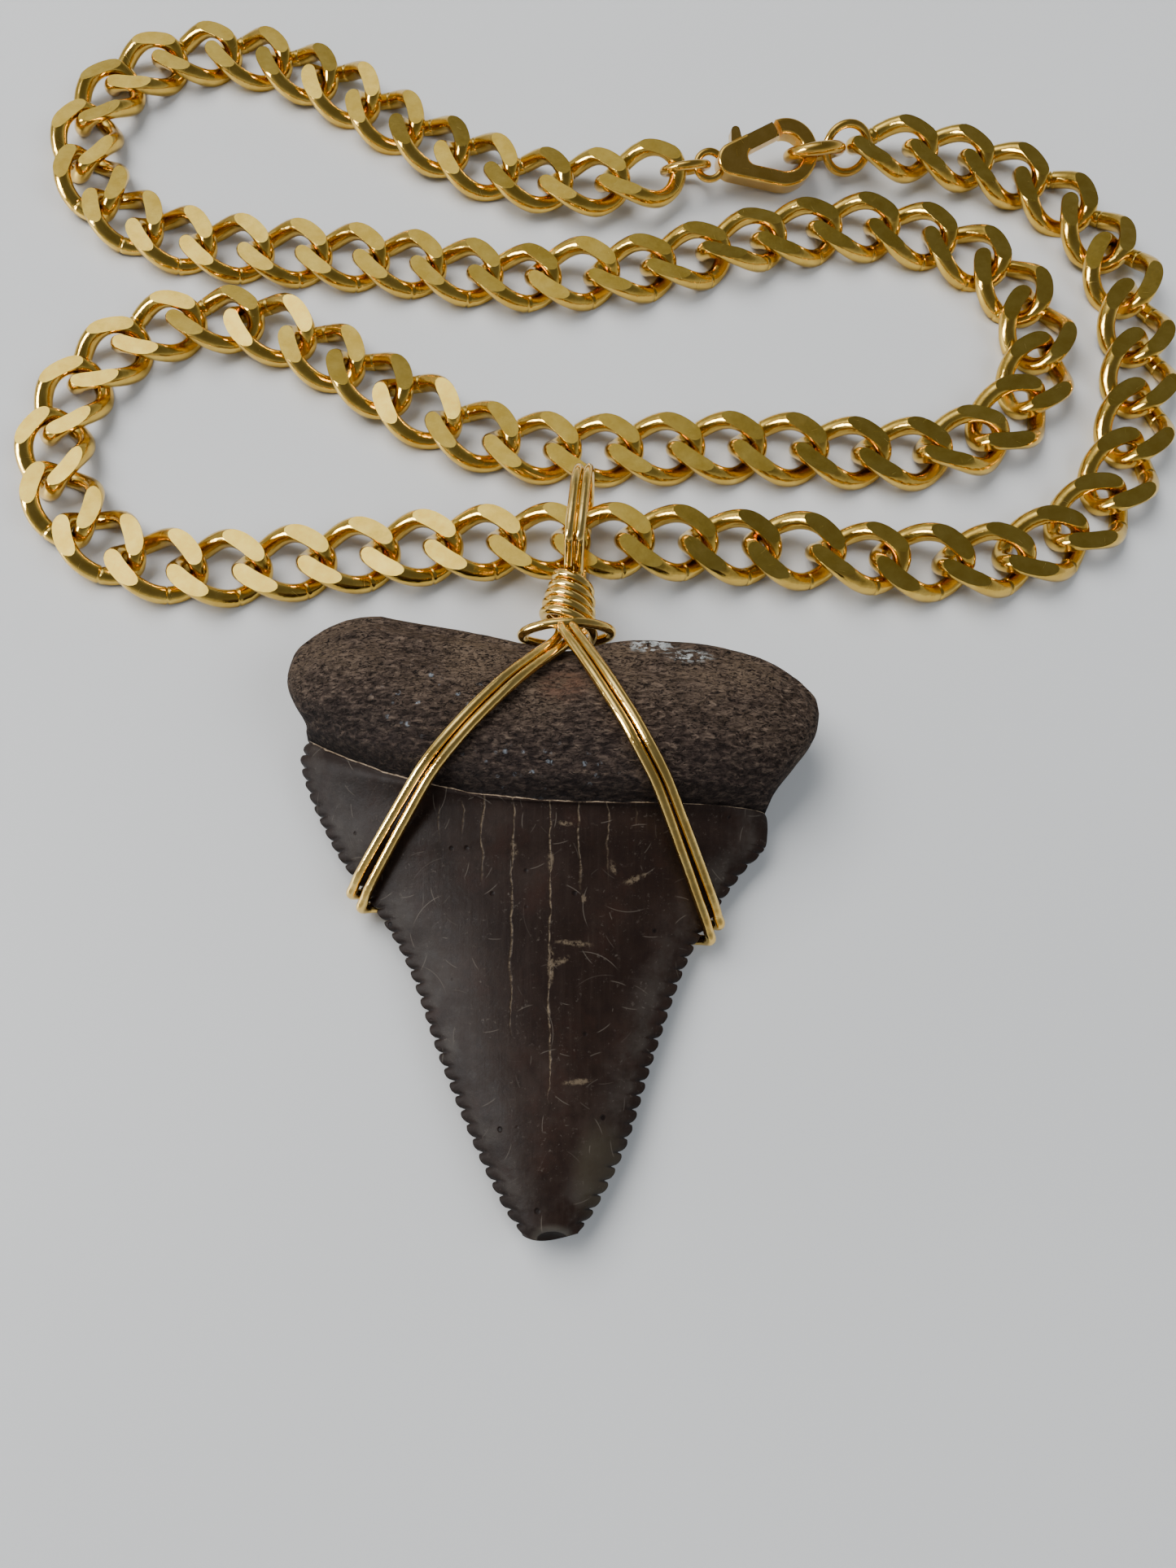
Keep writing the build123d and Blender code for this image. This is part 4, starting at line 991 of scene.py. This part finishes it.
def gold_material(name, colour, dark, roughness, scratch, dent):
    """Polished gold with fine wear, faint tone changes and small scratches."""
    n = Nodes(bpy.data.materials.new(name))
    place = n.place()
    tone = n.noise(place, 0.7, 4.0, 0.6)
    fine = n.noise(n.place((1.0, 6.0, 2.0)), 5.0, 3.0, 0.7)
    dents = n.noise(place, 1.3, 2.0, 0.5)
    shade = n.mix(n.ramp(tone, [(0.35, 0.0), (0.7, 1.0)]), dark, colour)
    lines = n.scratches(place, 0.9, 3.0, 0.5, 0.03)
    gloss = n.math("MULTIPLY_ADD", fine, roughness * 0.9, roughness * 0.55)
    gloss = n.math("MULTIPLY_ADD", lines, 0.15, gloss)
    bump = n.bump(fine, scratch, 0.02 * MM)
    bump = n.bump(dents, dent, 0.10 * MM, bump)
    return n.finish(Base_Color=shade, Metallic=1.0, Roughness=gloss, Normal=bump)


def enamel(n, place, edge, notch):
    """Colour, roughness and height of the crown: dark enamel, worn, scratched and cracked, with painted shade
    in the serration notches.
    """
    across, along, _ = n.add("SeparateXYZ", {0: place}).outputs
    stain = n.noise(place, 0.14, 5.0, 0.62)
    colour = n.ramp(stain, ENAMEL)
    mottle = n.noise(place, 1.1, 5.0, 0.7)
    colour = n.mix(n.ramp(mottle, [(0.35, 0.6), (0.55, 0.0)]), colour, ENAMEL_MOTTLE)
    red = n.noise(place, 0.3, 4.0, 0.65)
    colour = n.mix(n.ramp(red, [(0.52, 0.0), (0.70, 0.6)]), colour, ENAMEL_RED)
    streaks = n.noise(n.place((2.4, 0.12, 0.5)), 1.2, 5.0, 0.65)
    colour = n.mix(n.ramp(streaks, [(0.50, 0.0), (0.75, 0.35)]), colour, ENAMEL_STREAK)
    band = n.times(n.fade(edge, 0.5, 1.2), n.fade(edge, 4.2, 1.4))
    worn = n.ramp(n.noise(place, 0.35, 4.0, 0.6), [(0.40, 0.0), (0.62, 0.75)])
    colour = n.mix(n.times(band, worn), colour, ENAMEL_WORN)
    colour = n.mix(n.times(n.patches(place, OLIVE_PATCH), 0.5), colour, ENAMEL_OLIVE)
    # cracks
    wobble = n.noise(n.place((0.3, 0.45, 0.3)), 1.0, 3.0, 0.5)
    x = n.math("MULTIPLY_ADD", wobble, 0.8, n.math("SUBTRACT", across, 0.4))
    width = n.math("MULTIPLY_ADD", n.noise(n.place((0.7, 0.8, 0.7)), 1.0, 3.0, 0.6), 0.30, -0.05)
    cracks = 0.0
    for where, top, bottom, strength in CRACKS:
        near = n.fade(n.math("ABSOLUTE", n.math("SUBTRACT", x, where)), width, 0.0)
        span = n.times(n.fade(along, bottom, bottom + 3.0), n.fade(along, top + 0.6, top))
        cracks = n.math("MULTIPLY_ADD", n.times(near, span), strength, cracks)
    broken = n.ramp(n.noise(n.place((0.6, 2.2, 1.0)), 1.2, 3.0, 0.7), [(0.40, 0.12), (0.60, 1.0)])
    cracks = n.times(cracks, broken, clamp=True)
    colour = n.mix(cracks, colour, CRACK_TAN)
    # scratches, chips and specks, and painted shade in the serration notches
    long_lines = n.scratches(place, 0.24, 1.0, 1.7, 0.05)
    short_lines = n.scratches(place, 0.60, 17.0, 0.70, 0.05)
    lines = n.math("ADD", n.times(long_lines, 0.5), n.times(short_lines, 0.45), clamp=True)
    colour = n.mix(lines, colour, SCRATCH_GREY)
    rough_place = n.noise(place, 1.6, 4.0, 0.7).outputs["Color"]
    rough_place = n.vector("MULTIPLY", n.vector("SUBTRACT", rough_place, (0.5, 0.5, 0.0)), (0.6, 0.6, 0.0))
    marks = n.patches(n.vector("ADD", place, rough_place), MARKS)
    marks = n.times(marks, n.ramp(n.noise(place, 3.0, 3.0, 0.7), [(0.40, 0.0), (0.58, 0.85)]))
    colour = n.mix(marks, colour, MARK_TAN)
    dust = n.ramp(n.noise(place, 3.2, 3.0, 0.7), [(0.60, 0.0), (0.72, 0.55)])
    colour = n.mix(n.times(dust, worn), colour, DUST_GREY)
    distance, _, random = n.cells(place, 0.5, 31.0)
    specks = n.times(n.fade(distance, 0.13, 0.06), n.fade(random.outputs[2], 0.4, 0.45))
    colour = n.mix(specks, colour, SPECK_BLACK)
    # painted shade: the serration notches darker
    colour = n.mix(n.fade(notch, 0.08, 0.5, 0.0, 0.75), colour, NOTCH_PAINTED_SHADE)
    # chipped hollow at the tip, with a pale rim
    hollow = n.fade(n.patches(place, CHIP_PATCH), 0.2, 0.5)
    rim = n.times(n.patches(place, RIM_PATCH), n.math("SUBTRACT", 1.0, hollow))
    colour = n.mix(n.times(rim, 0.55), colour, CHIP_RIM)
    colour = n.mix(n.times(hollow, 0.8), colour, CHIP_HOLLOW)
    height = n.math("MULTIPLY_ADD", mottle, 0.35, n.times(streaks, 0.10))
    height = n.math("MULTIPLY_ADD", n.math("ADD", cracks, specks), -0.6, height)
    colour = n.mix(0.25, colour, ENAMEL_TINT)
    gloss = n.math("MULTIPLY_ADD", mottle, 0.22, 0.40)
    return colour, gloss, height


def bone(n, place, station):
    """Colour, roughness and height of the root: matt and porous, with short fibres and pits, and small
    crystals with painted glints.
    """
    grain_place = n.place((0.75, 1.6, 1.2))
    fibres = n.noise(grain_place, 1.9, 3.0, 0.55, 0.6)
    pores = n.noise(grain_place, 3.4, 2.0, 0.6, 1.1)
    colour = n.ramp(fibres, BONE)
    tan = n.noise(place, 0.20, 4.0, 0.6)
    above = n.fade(station, 1.25, 1.75)
    share = n.times(n.ramp(tan, [(0.42, 0.15), (0.64, 0.75)]), above)
    fleck = n.mix(n.ramp(pores, [(0.36, 0.0), (0.56, 1.0)]), FLECK_DARK, FLECK_TAN)
    colour = n.mix(share, colour, fleck)
    colour = n.mix(n.ramp(pores, [(0.34, 0.9), (0.44, 0.0)]), colour, PORE_BLACK)
    low = n.fade(station, 1.55, 1.05)
    colour = n.mix(n.times(low, 0.45), colour, BONE_LOW)
    red = n.times(n.patches(place, RED_PATCH), n.ramp(fibres, [(0.4, 0.1), (0.6, 0.9)]))
    colour = n.mix(n.times(red, 0.7), colour, BONE_RED)
    # pale mineral streak, and small smoother crystals with their glints painted in as pale blue colour
    flakes = n.ramp(n.noise(n.place((1.0, 1.3, 1.0)), 1.7, 4.0, 0.65), [(0.50, 0.0), (0.57, 0.9)])
    colour = n.mix(n.times(n.patches(place, MINERAL_PATCHES), flakes), colour, MINERAL_GREY)
    distance, _, random = n.cells(place, 1.3, 8.0)
    crystal_and_glint = n.times(n.fade(distance, 0.34, 0.10), n.fade(random.outputs[1], 0.45, 0.75))
    crystal_and_glint = n.times(crystal_and_glint, n.ramp(n.noise(place, 2.6, 3.0, 0.7), [(0.44, 0.0), (0.56, 1.0)]))
    crystal_and_glint = n.times(crystal_and_glint, n.patches(place, CRYSTAL_AND_GLINT_PATCHES))
    # painted highlight: the crystals' glints as pale blue colour
    colour = n.mix(n.times(crystal_and_glint, 0.75), colour, CRYSTAL_GLINT_BLUE)
    open_pores = n.times(n.ramp(pores, [(0.30, 0.0), (0.52, 1.0)]), 0.5)
    height = n.math("MULTIPLY_ADD", fibres, 0.6, open_pores)
    gloss = n.math("MULTIPLY_ADD", crystal_and_glint, -0.5, 0.78)
    return colour, gloss, height


def tooth_material():
    """Fossil enamel on the crown and porous root, told apart by the station along the tooth."""
    n = Nodes(bpy.data.materials.new("fossil"))
    place = n.place()
    station = n.attribute("station")
    wander = n.noise(place, 0.55, 5.0, 0.65)
    line = n.math("MULTIPLY_ADD", n.math("SUBTRACT", wander, 0.5), -0.05, station)
    root_mask = n.fade(line, 0.998, 1.006)
    crown = enamel(n, place, n.attribute("edge"), n.attribute("notch"))
    root = bone(n, place, station)
    colour = n.mix(root_mask, crown[0], root[0])
    lip = n.times(n.fade(line, 0.986, 0.993), n.fade(line, 1.004, 0.999))
    chips = n.ramp(n.noise(place, 1.4, 3.0, 0.7), [(0.34, 0.25), (0.50, 1.0)])
    colour = n.mix(n.times(lip, chips), colour, LIP_TAN)
    shadow = n.times(n.fade(line, 1.002, 1.012), n.fade(line, 1.06, 1.015))
    colour = n.mix(n.times(shadow, 0.75), colour, LIP_SHADOW)
    rough = n.fade(root_mask, 0.0, 1.0, crown[1], root[1])
    height = n.fade(root_mask, 0.0, 1.0, crown[2], n.times(root[2], 2.0))
    bump = n.bump(height, 0.8, 0.16 * MM)
    return n.finish(Base_Color=colour, Roughness=rough, Normal=bump, Specular_IOR_Level=0.07)


def make_camera():
    pitch = math.radians(CAMERA_PITCH)
    ahead = Vector((0, math.cos(pitch), -math.sin(pitch)))
    target = Vector(CAMERA_TARGET) + Vector(SHIFT)
    data = bpy.data.cameras.new("camera")
    data.sensor_fit = "VERTICAL"
    data.sensor_height = SENSOR
    data.lens = FOCAL_PIXELS / IMAGE_HEIGHT * SENSOR
    data.clip_start = 0.005
    data.clip_end = 10.0
    camera = bpy.data.objects.new("camera", data)
    bpy.context.scene.collection.objects.link(camera)
    camera.location = (target - ahead * CAMERA_DISTANCE) * MM
    camera.rotation_euler = ahead.to_track_quat("-Z", "Y").to_euler()
    bpy.context.scene.camera = camera


def area_light(name, place, size, power, colour, mirrored):
    """A soft light aimed at the part, seen only in reflections or not at all in them."""
    data = bpy.data.lights.new(name, "AREA")
    data.shape = "RECTANGLE"
    data.size, data.size_y = size
    data.energy = power
    data.color = colour
    lamp = bpy.data.objects.new(name, data)
    bpy.context.scene.collection.objects.link(lamp)
    lamp.location = place
    lamp.visible_glossy = mirrored
    lamp.visible_diffuse = not mirrored
    lamp.rotation_euler = (-Vector(place)).to_track_quat("-Z", "Y").to_euler()


def make_stage():
    """The floor, the sky and the lights."""
    n = Nodes(bpy.data.materials.new("floor"))
    tone = n.noise(n.place(), 0.01, 2.0, 0.5)
    shade = n.ramp(tone, FLOOR_GREYS)
    material = n.finish(Base_Color=shade, Roughness=0.55)
    corners = [(x * FLOOR_REACH, y * FLOOR_REACH, 0) for x, y in ((-1, -1), (1, -1), (1, 1), (-1, 1))]
    floor = new_object("floor", corners, [(0, 1, 2, 3)], [material], shade=False)
    world = bpy.data.worlds.new("studio")
    n = Nodes(world)
    where = n.add("TexCoord").outputs["Generated"]
    glow = []
    for toward, stops in ((SKY_PANEL, SKY_PANEL_STOPS), ((0, 0, 1), SKY_STOPS)):
        closeness = n.vector("DOT_PRODUCT", where, Vector(toward).normalized()).outputs["Value"]
        stops = [(at, tuple(light * c for c in SKY_COLOUR)) for at, light in stops]
        glow.append(n.ramp(closeness, stops))
    n.add("OutputWorld", {0: n.add("Background", {0: n.vector("ADD", *glow)})})
    bpy.context.scene.world = world
    for name, settings in LIGHTS.items():
        area_light(name, *settings)


make_camera()
make_stage()

golds = {name: gold_material("gold_" + name, *values) for name, values in GOLDS.items()}

tooth = make_tooth(tooth_material())
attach(tooth, "necklace")
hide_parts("tooth")

places = link_placements()
half = LINK_COUNT // 2
for name, part in (("chain_right", places[:half]), ("chain_left", places[half:])):
    piece = make_chain(name + "_links", part, [golds["chain"], golds["facet"]])
    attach(piece, "necklace")
    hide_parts(name)

for side, corners in wrap_lines().items():
    name = "wire_upper" if side < 0 else "wire_lower"
    piece = make_wire(name + "_bent", corners, golds["wire"], float(side))
    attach(piece, "necklace")
    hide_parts(name)

for name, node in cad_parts.items():
    if name.startswith(("clasp", "jump", "end")):
        node.data.materials[0] = golds["clasp"]
